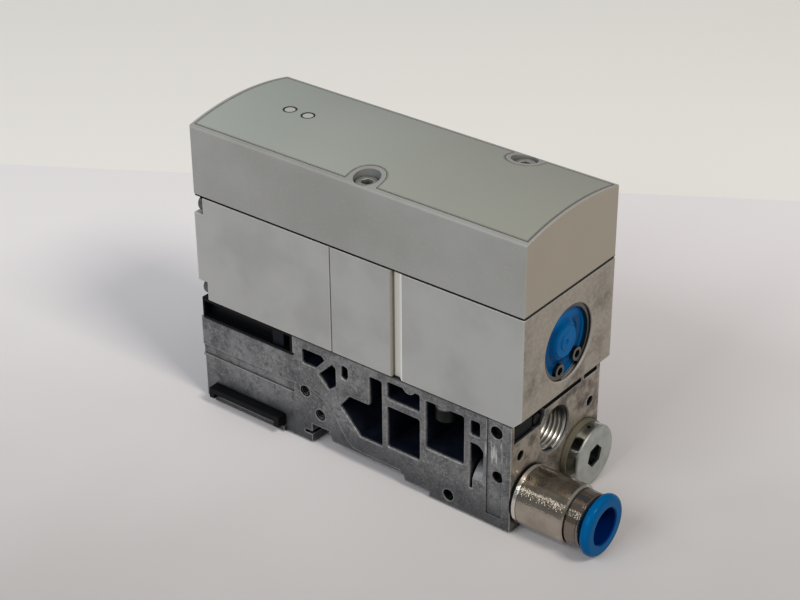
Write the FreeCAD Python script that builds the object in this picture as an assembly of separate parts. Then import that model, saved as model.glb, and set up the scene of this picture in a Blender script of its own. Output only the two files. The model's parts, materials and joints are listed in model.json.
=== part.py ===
import FreeCAD, Part
import math
import os

# Proportional pressure regulator of a valve terminal, bolted on its own cast sub-base.
# All sizes are in millimetres. +X runs towards the air ports and +Z is up. Heights below are
# measured from the underside. Each piece is set down by the depth of the rail recess when it
# is saved, so that the origin is the centre of the seat that rests on the 35 mm rail.

os.makedirs("parts", exist_ok=True)
V = FreeCAD.Vector

# Valve body, three blocks in a row
body_length = 111.3
body_width = 41.0
body_height = 32.3
pilot_length = 48.7
plate_length = 20.7
seam_bevel = 0.3
body_end_bevel = 2.6
rebate_depth = 1.2
rebate_length = 1.7
rebate_bevel = 1.6
bore_mouth = 0.25

# Sub-base
base_end_setback = 3.0
base_overhang = 0.4
base_foot_setback = 0.6
base_foot_height = 13.5
base_rim_height = 33.1
base_rim_width = 1.5
rim_rise = 0.8
gasket_thickness = 1.0
gasket_setback = 0.4
slot_depth = 2.0
slot_drop = 1.45
slot_play = 0.1
slot_bridge_y = 12.05
slot_bridge_width = 1.3
bay_length = 34.8
bay_sill = 26.6
bay_wall = 4.0
bay_end_wall = 3.0
land_depth = 0.5
land_edge_height = 4.2
groove_step = 0.4
groove_top = 17.3
groove_bottom = 14.2
groove_length = 34.5
panel_step = 0.3
panel_left = 7.7
panel_right = 2.8
panel_bottom = 3.0

# Channels that run across the sub-base, x from the rail centre line, z from the underside
channel_corner = 0.7
channel_flare = 0.25
channel_roof = 2.1
elbow_left = 5.9
elbow_right = 10.1
elbow_floor = 9.4
elbow_shelf = 20.9
elbow_tip_x = -4.6
elbow_tip_z = 16.7
elbow_heel_x = 2.3
elbow_heel_z = 9.4
elbow_notch_x = -1.2
supply_left = 12.0
supply_width = 10.9
supply_floor = 10.2
duct_web = 2.5
pilot_duct_roof = 1.3
pilot_duct_height = 5.3
lobe_radius = 2.2
lobe_x = 19.35
lobe_drop = 0.1
exhaust_left = 25.0
exhaust_width = 12.5
exhaust_floor = 15.2
vent_left = 39.6
vent_width = 3.0
vent_height = 4.5
port_duct_width = 4.2
port_duct_floor = 8.8
port_duct_round = 2.4

# Rail recess in the underside
rail_width = 35.0
rail_play = 0.6
recess_height = 3.1
recess_step = 1.5
recess_step_length = 8.6
hook_reach = 2.7
hook_foot = 2.4
hook_slot = 1.1
hook_notch_height = 6.1
hook_notch_length = 6.2

# Threaded ports in the end face, all of one thread size
thread_radius = 6.58
thread_play = 0.08
port_depth = 12.1
port_mouth = 0.35
port_boss_radius = 8.3
port_row_height = 8.65
port_pitch = 25.0
port_row_centre = -0.45
open_port_y = -0.5
open_port_height = 22.1
port_duct_radius = 4.2

# Corner pocket at the port end
pocket_wall = 1.2
pocket_drop = 5.3
pocket_depth = 2.6
pocket_reach = 15.0
insert_setback = 0.8
insert_length = 9.0
insert_play = 0.2
insert_screw_radius = 1.8
insert_screw_play = 0.1

# Small holes of the sub-base
tie_radius = 1.75
tie_depth = 2.2
lower_tie_place = 4.3
lower_tie_height = 15.7
upper_tie_radius = 1.9
upper_tie_place = 4.9
upper_tie_height = 29.4
end_hole_radius = 1.5
end_hole_offset = 16.2
end_hole_height = 22.2
end_hole_depth = 7.0

# Long mounting screws, M4, one at each long side
screw_radius = 2.0
screw_head_radius = 3.4
screw_head_height = 4.0
screw_hex = 3.0
screw_play = 0.25
near_screw_x = 3.05
far_screw_x = 29.15
screw_inset = 4.15
screw_head_depth = 1.4
screw_engagement = 7.0
screw_boss_radius = 3.3
screw_boss_reach = 7.4

# Cover
cover_height = 20.4
crown_rise = 2.5
cover_wall = 2.2
cover_edge = 0.6
cover_seal = 0.7
cover_seal_inset = 0.35
cover_seal_width = 1.4
cover_boss_radius = 5.0
recess_radius = 3.65
label_rim = 1.3
label_end_rim = 0.7
label_thickness = 0.3
label_gap = 0.15

# Status lights
light_radius = 1.5
light_ring = 1.9
light_first_x = 18.6
light_spacing = 6.4
light_play = 0.1

# Circuit board in the cover
board_gap = 4.0
board_thickness = 1.6
board_margin = 0.9
standoff_radius = 2.5
standoff_inset_x = 5.0
standoff_inset_y = 5.6
standoff_middle_x = -15.0
board_screw_radius = 1.2
board_screw_head = 2.1
board_screw_head_height = 1.5
board_screw_head_round = 0.6
board_screw_length = 3.0
board_screw_run_out = 0.2
chip_height = 1.4
processor_x = -6.0
processor_y = 6.0
processor_side = 12.0
driver_x = 14.0
driver_y = 2.0
driver_length = 9.0
driver_width = 6.0
amplifier_x = 36.0
amplifier_y = -2.0
amplifier_length = 8.0
amplifier_width = 5.0
bus_chip_x = -22.0
bus_chip_y = -7.0
bus_chip_length = 7.0
bus_chip_width = 5.0
light_chip = 1.6
riser_width = 16.0
riser_inset = 7.6

# Screws that hold the pilot housing to the plate, M2.5 pan heads in corner notches
notch_length = 3.3
notch_play = 0.2
notch_width = 5.6
pan_radius = 1.25
pan_head_radius = 2.3
pan_head_height = 2.5
pan_inset = 2.7
pan_low = 3.2
pan_high = 2.7
pan_engagement = 6.0
pan_play = 0.15

# Screws that hold the plate to the regulator body, M3
plate_screw_radius = 1.5
plate_screw_head = 2.75
plate_screw_head_height = 3.0
plate_screw_y = 11.0
plate_screw_z = 12.2
plate_screw_engagement = 7.0

# Pilot solenoids in their housing
cavity_side = 6.1
cavity_end = 6.0
cavity_wall = 2.6
coil_spacing = 14.0
coil_height = 14.3
frame_length = 24.0
frame_size = 13.0
frame_sheet = 1.2
bobbin_tube = 3.1
bobbin_bore = 2.4
bobbin_flange = 5.3
bobbin_flange_thickness = 0.9
winding_radius = 5.1
armature_radius = 2.32
armature_length = 11.0
armature_stroke = 0.5
armature_rest_gap = 0.1
armature_pocket = 3.0
armature_spring_radius = 1.45
armature_wire = 0.22
armature_turns = 4

# Regulator: sleeve, spool, control piston
bore_radius = 10.8
bore_height = 16.4
bore_depth = 15.0
sleeve_radius = 8.0
sleeve_play = 0.05
sleeve_length = 22.8
sleeve_setback = 0.1
sleeve_end_play = 0.1
sleeve_bore = 4.0
spool_radius = 3.95
spool_neck = 2.5
spool_flange = 7.2
spool_flange_thickness = 1.5
spool_rest_gap = 0.3
spool_stroke = 1.5
supply_port_x = 20.5
output_port_x = 29.0
vent_port_x = 41.1
vent_port_y = 10.0
port_slot_width = 2.6
port_slot_length = 10.0
annulus_width = 4.0
annulus_depth = 1.2
sleeve_port_radius = 1.4
seal_section = 0.9
seal_squeeze = 0.03
chamber_radius = 10.0
piston_radius = 9.95
piston_thickness = 3.5
piston_gap = 1.7
piston_end_gap = 0.8
stem_radius = 2.4
stem_play = 0.3
return_spring_radius = 3.6
return_wire = 0.45
return_turns = 4

# Closing plug of the bore and its retaining ring
ring_depth = 0.8
ring_thickness = 1.2
ring_inner = 9.65
ring_outer = 11.75
ring_groove = 11.85
ring_gap_angle = -79.0
lug_angle = 29.0
lug_orbit = 8.2
lug_radius = 1.95
lug_eye = 1.1
plug_thickness = 9.0
plug_play = 0.05
plug_base = 6.4
plug_disc = 4.6
plug_rise = 1.4
plug_ring = 2.6
plug_dimple = 0.8
plug_pocket_radius = 5.0
plug_pocket_depth = 5.0

# Pressure sensor
sensor_radius = 4.0
sensor_y = -5.0
sensor_seat = 1.5
sensor_duct = 0.8

# Electronics of the sub-base
carrier_play = 0.1
carrier_window_depth = 2.6
carrier_frame = 0.8
bus_bar_left = -51.8
bus_bar_length = 26.5
bus_bar_low = 2.0
bus_bar_high = 5.4
bus_bar_nose = 2.7
bus_bar_tail = 7.0
bus_tongue = 1.5
bus_foot_length = 1.8
lip_reach = 0.4
lip_height = 1.6
bus_board_gap = 0.4
contact_count = 12
contact_size = 0.6
contact_pitch = 2.0
link_width = 4.0
link_length = 22.0
link_x = -27.2

# Push-in fitting, for a 10 mm tube
fitting_radius = 8.35
fitting_length = 16.0
fitting_bevel = 0.5
fitting_shank = 10.0
fitting_collar = 1.6
fitting_groove = 0.25
fitting_seal_thickness = 0.45
fitting_seal_radius = 8.0
cartridge_radius = 7.65
cartridge_length = 4.5
cartridge_collar = 0.9
cartridge_groove = 0.15
cartridge_seat = 7.0
cartridge_bore = 6.2
tube_radius = 5.1
tube_stop = 4.0
tube_stop_depth = 5.0
seal_pocket = 6.6
seal_pocket_length = 2.6
release_sleeve = 6.12
release_stroke = 0.8
release_flange_radius = 8.7
release_flange_length = 2.8
release_round = 1.3
release_mouth = 0.45
grab_thickness = 0.5

# Blanking plug
blank_flange_radius = 8.8
blank_flange_length = 3.45
blank_bevel = 0.3
blank_shank = 9.5
blank_hex = 6.0
blank_hex_depth = 5.0
blank_hex_turn = 12
blank_seal_thickness = 1.6
blank_seal_radius = 9.1

# Places that follow from the sizes above
body_left = -body_length / 2
body_right = body_length / 2
half_width = body_width / 2
joint_1 = body_left + pilot_length
joint_2 = joint_1 + plate_length
gasket_floor = base_rim_height - rim_rise
channel_ceiling = gasket_floor - channel_roof
pilot_duct_ceiling = gasket_floor - pilot_duct_roof
pilot_duct_floor = pilot_duct_ceiling - pilot_duct_height
supply_ceiling = pilot_duct_floor - duct_web
vent_floor = channel_ceiling - vent_height
port_duct_ceiling = vent_floor - duct_web
lobe_z = gasket_floor - lobe_drop
pocket_floor = gasket_floor - pocket_drop
body_bottom = gasket_floor + gasket_thickness
body_top = body_bottom + body_height
cover_bottom = body_top + cover_seal
cover_side_top = cover_bottom + cover_height
base_left = body_left - base_overhang
base_right = body_right - base_end_setback
bay_right = base_left + bay_length
bore_z = body_bottom + bore_height
bore_end = body_right - bore_depth
screw_y = half_width - screw_inset
sensor_x = output_port_x
board_bottom = body_top + board_gap
board_top = board_bottom + board_thickness
crown_radius = (half_width ** 2 + crown_rise ** 2) / (2 * crown_rise)
crown_centre = cover_side_top + crown_rise - crown_radius


# Helpers
def box(x0, x1, y0, y1, z0, z1):
    return Part.makeBox(x1 - x0, y1 - y0, z1 - z0, V(x0, y0, z0))


def rod_x(x0, x1, y, z, radius):
    return Part.makeCylinder(radius, x1 - x0, V(x0, y, z), V(1, 0, 0))


def rod_y(x, y0, y1, z, radius):
    return Part.makeCylinder(radius, y1 - y0, V(x, y0, z), V(0, 1, 0))


def rod_z(x, y, z0, z1, radius):
    return Part.makeCylinder(radius, z1 - z0, V(x, y, z0), V(0, 0, 1))


def prism_y(points, y0, y1):
    """Extrude an outline of (x, z) points across the width."""
    corners = [V(x, y0, z) for x, z in points]
    face = Part.Face(Part.makePolygon(corners + corners[:1]))
    return face.extrude(V(0, y1 - y0, 0))


def prism_x(points, x0, x1):
    """Extrude an outline of (y, z) points along the length."""
    corners = [V(x0, y, z) for y, z in points]
    face = Part.Face(Part.makePolygon(corners + corners[:1]))
    return face.extrude(V(x1 - x0, 0, 0))


def turned_x(points, y, z):
    """Turn an outline of (x, radius) points about the line along X through (y, z)."""
    corners = [V(x, y, z + radius) for x, radius in points]
    face = Part.Face(Part.makePolygon(corners + corners[:1]))
    return face.revolve(V(0, y, z), V(1, 0, 0), 360)


def edges_along(shape, axis):
    """The straight edges of a shape that run along an axis."""
    found = []
    for edge in shape.Edges:
        straight = edge.Curve.TypeId == "Part::GeomLine"
        if straight and abs(edge.tangentAt(edge.FirstParameter) * axis) > 0.999:
            found.append(edge)
    return found


def rounded(shape, radius, axis):
    """Round the edges of a prism that run along its axis."""
    return shape.makeFillet(radius, edges_along(shape, axis))


def hexagon_x(x0, x1, y, z, across_flats, turn=30):
    reach = across_flats / math.sqrt(3)
    corners = []
    for step in range(6):
        angle = math.radians(60 * step + turn)
        corners.append((y + reach * math.cos(angle), z + reach * math.sin(angle)))
    return prism_x(corners, x0, x1)


def hexagon_z(x, y, z0, z1, across_flats):
    reach = across_flats / math.sqrt(3)
    corners = []
    for step in range(6):
        angle = math.radians(60 * step)
        corners.append(V(x + reach * math.cos(angle), y + reach * math.sin(angle), z0))
    face = Part.Face(Part.makePolygon(corners + corners[:1]))
    return face.extrude(V(0, 0, z1 - z0))


def slot_z(x, z0, z1, width, length):
    """An upright passage with round ends, long across the width."""
    straight = (length - width) / 2
    body = box(x - width / 2, x + width / 2, -straight, straight, z0, z1)
    ends = [rod_z(x, side * straight, z0, z1, width / 2) for side in (-1, 1)]
    return body.fuse(ends).removeSplitter()


def ring_seal_x(x, y, z, outer, section):
    """A round-section ring in a groove, about a line along X."""
    return Part.makeTorus(outer - section, section, V(x, y, z), V(1, 0, 0))


def spring_x(x0, x1, y, z, radius, wire, turns):
    """A coil spring along X whose ends lie at x0 and x1."""
    pitch = (x1 - x0 - 2 * wire) / turns
    helix = Part.makeHelix(pitch, x1 - x0 - 2 * wire, radius)
    circle = Part.Circle(V(radius, 0, 0), V(0, 1, 0), wire)
    outer_half = Part.Arc(circle, 0, math.pi).toShape()
    inner_half = Part.Arc(circle, math.pi, 2 * math.pi).toShape()
    profile = Part.Wire([outer_half, inner_half])
    coil = Part.Wire(helix).makePipeShell([profile], True, True)
    coil.rotate(V(0, 0, 0), V(0, 1, 0), 90)
    coil.translate(V(x0 + wire, y, z))
    return coil


def crown_block(x0, x1, reach, z_low, drop):
    """A block under the crowned roof, lowered by drop along the crown's radius."""
    radius = crown_radius - drop
    side = crown_centre + math.sqrt(radius ** 2 - reach ** 2)
    top = crown_centre + radius
    edges = [
        Part.makeLine(V(x0, -reach, z_low), V(x0, reach, z_low)),
        Part.makeLine(V(x0, reach, z_low), V(x0, reach, side)),
        Part.Arc(V(x0, reach, side), V(x0, 0, top), V(x0, -reach, side)).toShape(),
        Part.makeLine(V(x0, -reach, side), V(x0, -reach, z_low)),
    ]
    return Part.Face(Part.Wire(edges)).extrude(V(x1 - x0, 0, 0))


def save(name, shape):
    shape = shape.copy()
    shape.translate(V(0, 0, -recess_height))
    shape.exportStep("parts/" + name + ".step")
    print(name, "solids", len(shape.Solids), "valid", shape.isValid(), "volume", round(shape.Volume, 1))


def group(solids):
    return Part.makeCompound(solids)


# Sub-base: the channels that cross it
def channels():
    y0 = -half_width - 1
    y1 = half_width + 1
    across = V(0, 1, 0)
    corner = channel_corner
    top = channel_ceiling
    small_upper = prism_y([(-17.95, top), (-11.0, top), (-9.7, top - 0.9), (-13.1, top - 4.6),
                           (-17.85, top - 4.6)], y0, y1)
    small_slant = prism_y([(-7.3, top - 1.4), (-6.0, top - 2.0), (-6.0, top - 7.8), (-8.6, top - 9.9),
                           (-12.1, top - 6.3)], y0, y1)
    small_slot = prism_y([(-3.8, top), (-1.7, top - 0.5), (-1.6, top - 3.2), (-2.3, top - 4.5),
                          (-4.0, top - 4.0)], y0, y1)
    elbow = prism_y([
        (elbow_left, channel_ceiling),
        (elbow_right, channel_ceiling),
        (elbow_right, elbow_floor),
        (elbow_heel_x, elbow_heel_z),
        (elbow_tip_x, elbow_tip_z),
        (elbow_notch_x, elbow_shelf),
        (elbow_left, elbow_shelf),
    ], y0, y1)
    supply_right = supply_left + supply_width
    supply = box(supply_left, supply_right, y0, y1, supply_floor, supply_ceiling)
    pilot_duct = box(supply_left, supply_right, y0, y1, pilot_duct_floor, pilot_duct_ceiling)
    exhaust = box(exhaust_left, exhaust_left + exhaust_width, y0, y1, exhaust_floor, channel_ceiling)
    vent = box(vent_left, vent_left + vent_width, y0, y1, vent_floor, channel_ceiling)
    duct = box(vent_left, vent_left + port_duct_width, y0, y1, port_duct_floor, port_duct_ceiling)
    outer_edge = [edge for edge in edges_along(duct, across)
                  if edge.BoundBox.XMin > vent_left + 1 and edge.BoundBox.ZMin > port_duct_floor + 1]
    duct = duct.makeFillet(port_duct_round, outer_edge)
    sharp = [small_upper, small_slant, small_slot, elbow, supply, pilot_duct, exhaust, vent]
    smooth = [rounded(shape, corner, across) for shape in sharp] + [duct]
    mouths = []
    for shape in smooth:
        mouths += flared_mouths(shape)
    return smooth + mouths


def flared_mouths(passage):
    """Small bevels where a passage meets the two side faces."""
    end = [face for face in passage.Faces if face.BoundBox.YMax < -half_width - 0.99][0]
    mouths = []
    for side in (-1, 1):
        inner = end.OuterWire.copy()
        outer = end.OuterWire.makeOffset2D(2 * channel_flare)
        inner.translate(V(0, half_width + 1 + side * (half_width - channel_flare), 0))
        outer.translate(V(0, half_width + 1 + side * (half_width + channel_flare), 0))
        mouths.append(Part.makeLoft([inner, outer], True))
    return mouths


def rail_recess():
    """Outline of the recess with its hook, from the left foot to the right foot."""
    left = -rail_width / 2 - rail_play
    hook = left + hook_reach
    notch_right = hook + hook_notch_length
    step = rail_width / 2
    right = step + recess_step_length
    outline = [
        (hook, -1),
        (hook, hook_foot),
        (left, hook_foot),
        (left, hook_foot + hook_slot),
        (hook, hook_foot + hook_slot),
        (hook, hook_notch_height),
        (notch_right, hook_notch_height),
        (notch_right + 1.2, recess_height),
        (step, recess_height),
        (step + 0.4, recess_step),
        (right, recess_step),
        (right + 0.3, -1),
    ]
    return prism_y(outline, -half_width - 1, half_width + 1)


def side_land(side):
    """Shallow step that leaves the channel area proud of the rest of one side face."""
    outline = [
        (base_left - 1, -1),
        (base_left - 1, bay_sill + 1),
        (bay_right + 2.2, bay_sill + 1),
        (bay_right + 2.2, 23.0),
        (-16.5, 18.6),
        (-10.4, 16.0),
        (-6.5, 12.4),
        (-2.7, 6.6),
        (-0.4, land_edge_height + 0.4),
        (3.3, land_edge_height),
        (16.0, land_edge_height),
        (18.5, -1),
    ]
    face = side * half_width
    low, high = sorted((face - side * land_depth, face + side))
    steps = [prism_y(outline, low, high)]
    low, high = sorted((face - side * (land_depth + groove_step), face + side))
    steps.append(box(base_left - 1, base_left + groove_length, low, high, groove_bottom, groove_top))
    # plain panel beside the post at the port end
    low, high = sorted((face - side * panel_step, face + side))
    steps.append(box(base_right - panel_left, base_right - panel_right, low, high,
                     panel_bottom, base_rim_height + 1))
    return steps


def threaded_port(y, z, duct_end):
    """Bore of a port with its mouth, and the smaller duct behind it."""
    bottom = base_right - port_depth
    return turned_x([
        (base_right + 1, 0),
        (base_right + 1, thread_radius + port_mouth + 1),
        (base_right, thread_radius + port_mouth),
        (base_right - port_mouth, thread_radius),
        (bottom, thread_radius),
        (bottom, port_duct_radius),
        (duct_end, port_duct_radius),
        (duct_end, 0),
    ], y, z)


# Each port: y, z, the end of its boss and the end of its duct
exhaust_right = exhaust_left + exhaust_width
port_places = [
    (port_row_centre - port_pitch / 2, port_row_height, base_right - port_depth, vent_left + 0.5),
    (port_row_centre + port_pitch / 2, port_row_height, base_right - port_depth, vent_left + 0.5),
    (open_port_y, open_port_height, exhaust_right - 0.5, exhaust_right - 1),
]


def sub_base():
    outer = box(base_left, base_right, -half_width, half_width, 0, base_rim_height)
    shape = outer.cut(channels())
    # the lobe of a pin hole that hangs into the upper duct, and the bosses of the ports
    added = [rod_y(lobe_x, -half_width, half_width, lobe_z, lobe_radius)]
    for y, z, boss_end, duct_end in port_places:
        added.append(rod_x(boss_end, base_right, y, z, port_boss_radius))
    for side in (-1, 1):
        boss_bottom = gasket_floor - screw_boss_reach
        added.append(rod_z(far_screw_x, side * screw_y, boss_bottom, gasket_floor, screw_boss_radius))
    shape = shape.fuse([boss.common(outer) for boss in added]).removeSplitter()
    cuts = [rail_recess()]
    cuts += side_land(-1)
    cuts += side_land(1)
    # bay of the electronics, open at the top and towards both neighbours above the sill
    cuts.append(box(base_left - 1, bay_right, -half_width - 1, half_width + 1, bay_sill, base_rim_height + 1))
    inner = half_width - bay_wall
    cuts.append(box(base_left + bay_end_wall, bay_right - bay_end_wall, -inner, inner,
                    bus_bar_low - carrier_play, bay_sill + 1))
    cuts.append(box(base_left - 1, base_left + base_foot_setback, -half_width - 1, half_width + 1,
                    -1, base_foot_height))
    # slot of the bus bar, through both walls of the bay
    cuts.append(box(bus_bar_left - carrier_play, bus_bar_left + bus_bar_length + carrier_play,
                    -half_width - 1, half_width + 1, bus_bar_low - carrier_play, bus_bar_high + carrier_play))
    # seat of the gasket between the side rims, open at the port end
    rim = half_width - base_rim_width
    seat = box(bay_right - 1, base_right + 1, -rim, rim, gasket_floor, base_rim_height + 1)
    cuts.append(seat.cut(slot_bridge(0)))
    for y0, y1 in slot_spans():
        cuts.append(box(base_right - slot_depth, base_right + 1, y0, y1, gasket_floor - slot_drop,
                        base_rim_height + 1))
    # corner pocket, stopped by the boss of the open port
    pocket = box(base_right - pocket_depth, base_right + 1, -half_width + pocket_wall,
                 -half_width + pocket_reach, pocket_floor, base_rim_height + 1)
    boss = rod_x(base_right - pocket_depth - 1, base_right + 2, open_port_y, open_port_height,
                 port_boss_radius)
    cuts.append(pocket.cut(boss))
    cuts += [threaded_port(y, z, duct_end) for y, z, boss_end, duct_end in port_places]
    # passages up to the valve
    cuts += valve_passages(channel_ceiling - 3, base_rim_height + 1, 0)
    # tapped holes of the mounting screws
    near_low = gasket_floor - screw_engagement - 1
    cuts.append(rod_z(near_screw_x, -screw_y, near_low, base_rim_height + 1, screw_radius))
    far_low = gasket_floor - screw_boss_reach + 1
    cuts.append(rod_z(far_screw_x, screw_y, far_low, base_rim_height + 1, screw_radius))
    # small holes of the tie screws and locating pins
    for x, z in ((-17.55, 16.1), (-12.2, 10.2), (32.65, 3.2)):
        cuts.append(rod_y(x, -half_width - 1, half_width + 1, z, tie_radius))
    for side in (-1, 1):
        start = side * half_width
        low, high = sorted((start - side * tie_depth, start + side))
        cuts.append(rod_y(base_right - lower_tie_place, low, high, lower_tie_height, tie_radius))
        cuts.append(rod_y(base_right - upper_tie_place, low, high, upper_tie_height, upper_tie_radius))
        cuts.append(rod_x(base_right - end_hole_depth, base_right + 1, side * end_hole_offset,
                          end_hole_height, end_hole_radius))
    # seat of the small screw beside the insert
    cuts.append(rod_x(base_right - pocket_depth - 4, base_right - pocket_depth + 1,
                      insert_screw_y, insert_screw_z, insert_screw_radius))
    # room for its head, should the boss of the open port reach that far
    cuts.append(rod_x(base_right - pocket_depth, base_right + 1, insert_screw_y, insert_screw_z,
                      insert_screw_radius + insert_screw_play / 2))
    lip = box(bus_bar_left, bus_bar_left + bus_bar_length, -half_width - lip_reach, -half_width + land_depth,
              0, lip_height)
    return shape.cut(cuts).fuse(lip).removeSplitter()


insert_screw_y = -half_width + pocket_wall + insert_length + 0.4 + insert_screw_radius
insert_screw_z = pocket_floor + insert_screw_radius + insert_screw_play


def pocket_insert():
    back = base_right - pocket_depth
    low = -half_width + pocket_wall + insert_play
    outline = [
        (back, pocket_floor),
        (base_right - insert_setback, pocket_floor),
        (base_right - insert_setback, gasket_floor - 1.1),
        (back, gasket_floor - insert_play),
    ]
    return prism_y(outline, low, low + insert_length - insert_play)


def insert_screw():
    back = base_right - pocket_depth
    screw = rod_x(back - 3.6, base_right - insert_setback, insert_screw_y, insert_screw_z,
                  insert_screw_radius)
    return screw.makeChamfer(0.3, [screw.Edges[0], screw.Edges[2]])


def slot_spans():
    """Where the seat steps down at the port end, on both sides of a small bridge."""
    half_bridge = slot_bridge_width / 2
    return [(-half_width + pocket_reach, slot_bridge_y - half_bridge),
            (slot_bridge_y + half_bridge, half_width - base_rim_width)]


def slot_bridge(play):
    half = slot_bridge_width / 2 + play
    return box(base_right - slot_depth - play, base_right + 2 * play, slot_bridge_y - half,
               slot_bridge_y + half, gasket_floor - slot_drop - 1, body_bottom - slot_play + 2 * play)


def base_gasket():
    edge = half_width - base_rim_width - 0.2
    sheet = box(bay_right + 0.4, base_right - gasket_setback, -edge, edge, gasket_floor, body_bottom)
    lips = [box(base_right - slot_depth, base_right - gasket_setback, y0 + slot_play, y1 - slot_play,
                gasket_floor - slot_drop, gasket_floor + 0.1) for y0, y1 in slot_spans()]
    sheet = sheet.fuse(lips).removeSplitter()
    cuts = valve_passages(gasket_floor - 1, body_bottom + 1, 0.4)
    cuts.append(slot_bridge(slot_play))
    for x, y in mounting_places:
        cuts.append(rod_z(x, y, gasket_floor - 1, body_bottom + 1, screw_radius + screw_play))
    # the sheet leaves out the corner pocket
    cuts.append(box(base_right - pocket_depth - 0.3, base_right, -half_width, -half_width + pocket_reach,
                    gasket_floor - slot_drop - 1, body_bottom + 1))
    return sheet.cut(cuts)


mounting_places = [(near_screw_x, -screw_y), (far_screw_x, screw_y)]


# Electronics of the sub-base
def electronics_carrier():
    play = carrier_play
    low = bay_sill
    high = body_bottom - play
    left = body_left + 0.5
    right = bay_right - play
    edge = half_width - play
    shape = box(left, right, -edge, edge, low, high)
    shape = shape.makeFillet(0.4, edges_along(shape, V(0, 0, 1)))
    cuts = []
    for side in (-1, 1):
        depth = half_width - carrier_window_depth
        y0, y1 = sorted((side * depth, side * (half_width + 1)))
        cuts.append(box(left + carrier_frame, right - carrier_frame, y0, y1,
                        low + carrier_frame, high - carrier_frame))
    # room for the link header and the riser board
    cuts.append(box(link_x - link_width / 2 - play, link_x + link_width / 2 + play, -link_length / 2 - play,
                    link_length / 2 + play, low - 1, high - 1.4))
    cuts.append(box(riser_x - play, riser_x + board_thickness + play, -riser_width / 2 - play,
                    riser_width / 2 + play, high - 2, high + 1))
    cuts.append(box(left + 2, left + 9, -10, 10, low - 1, low + 2))
    return shape.cut(cuts)


riser_x = body_left + riser_inset
bus_board_low = bus_bar_high + bus_board_gap


def window_blocks():
    """Two slate blocks of the link, one seen in each window of the carrier."""
    blocks = []
    for side in (-1, 1):
        depth = half_width - carrier_window_depth
        y0, y1 = sorted((side * depth, side * (half_width - 0.9)))
        blocks.append(box(link_x - link_width / 2, link_x + link_width / 2, y0, y1,
                          bay_sill + carrier_frame, body_bottom - carrier_play - carrier_frame))
    return group(blocks)


def link_header():
    high = body_bottom - carrier_play - 1.4
    return box(link_x - link_width / 2, link_x + link_width / 2, -link_length / 2, link_length / 2,
               bus_board_low + board_thickness, high)


def bus_board():
    inner = half_width - bay_wall - 0.3
    left = base_left + bay_end_wall + 0.3
    right = bay_right - bay_end_wall - 0.3
    return box(left, right, -inner, inner, bus_board_low, bus_board_low + board_thickness)


def contact_places():
    first = bus_bar_left + bus_bar_length / 2 - contact_pitch * (contact_count - 1) / 2
    return [first + contact_pitch * step for step in range(contact_count)]


def contact_box(x, y0, y1):
    z = bus_bar_high - bus_tongue
    half = contact_size / 2
    return box(x - half, x + half, y0, y1, z - half, z + half)


bus_nose_y = -half_width - bus_bar_nose
bus_tail_y = -half_width + bus_bar_tail
bus_bar_right = bus_bar_left + bus_bar_length


def bus_plug():
    """Bar that plugs into the next sub-base: a tongue with a foot at each end."""
    front = -half_width - lip_reach - 0.2
    outline = [
        (bus_tail_y, bus_bar_low),
        (front + 0.6, bus_bar_low),
        (front, bus_bar_high - bus_tongue),
        (bus_nose_y, bus_bar_high - bus_tongue),
        (bus_nose_y, bus_bar_high - 0.2),
        (bus_nose_y + 0.2, bus_bar_high),
        (bus_tail_y, bus_bar_high),
    ]
    bar = prism_x(outline, bus_bar_left, bus_bar_right)
    feet = [box(x, x + bus_foot_length, bus_nose_y, front + 1,
                bus_bar_low + 0.2, bus_bar_high - bus_tongue + 0.5)
            for x in (bus_bar_left, bus_bar_right - bus_foot_length)]
    pad = box(bus_bar_left + 2, bus_bar_right - 2, -half_width + bay_wall + 0.2, bus_tail_y,
              bus_bar_high, bus_board_low)
    shape = bar.fuse(feet + [pad]).removeSplitter()
    cuts = [contact_box(x, bus_nose_y + 0.6, bus_tail_y + 1) for x in contact_places()]
    return shape.cut(cuts)


def bus_contacts():
    return group([contact_box(x, bus_nose_y + 0.6, bus_tail_y + 0.4) for x in contact_places()])


def bus_socket():
    """Socket at the far side, which takes the bar of the next sub-base."""
    tail = half_width - bus_bar_tail
    face = half_width - bus_bar_nose - 0.4
    block = box(bus_bar_left, bus_bar_right, tail, face, bus_bar_low, bus_bar_high)
    pad = box(bus_bar_left + 2, bus_bar_right - 2, tail, half_width - bay_wall - 0.2,
              bus_bar_high, bus_board_low)
    ledge = box(bus_bar_left + bus_foot_length + 0.4, bus_bar_right - bus_foot_length - 0.4, face - 1,
                half_width - 0.3, bus_bar_low, bus_bar_high - bus_tongue - contact_size)
    return block.fuse([pad, ledge]).removeSplitter()


# Valve body
def valve_passages(z0, z1, widen):
    """Upright passages between the valve and its sub-base: two slots and a pair of round vents."""
    width = port_slot_width + 2 * widen
    length = port_slot_length + 2 * widen
    passages = [slot_z(x, z0, z1, width, length) for x in (supply_port_x, output_port_x)]
    passages += [rod_z(vent_port_x, y, z0, z1, width / 2) for y in (-vent_port_y, vent_port_y)]
    return passages


def pan_places():
    return [(side * (half_width - pan_inset), z)
            for side in (-1, 1)
            for z in (body_bottom + pan_low, body_top - pan_high)]


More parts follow.
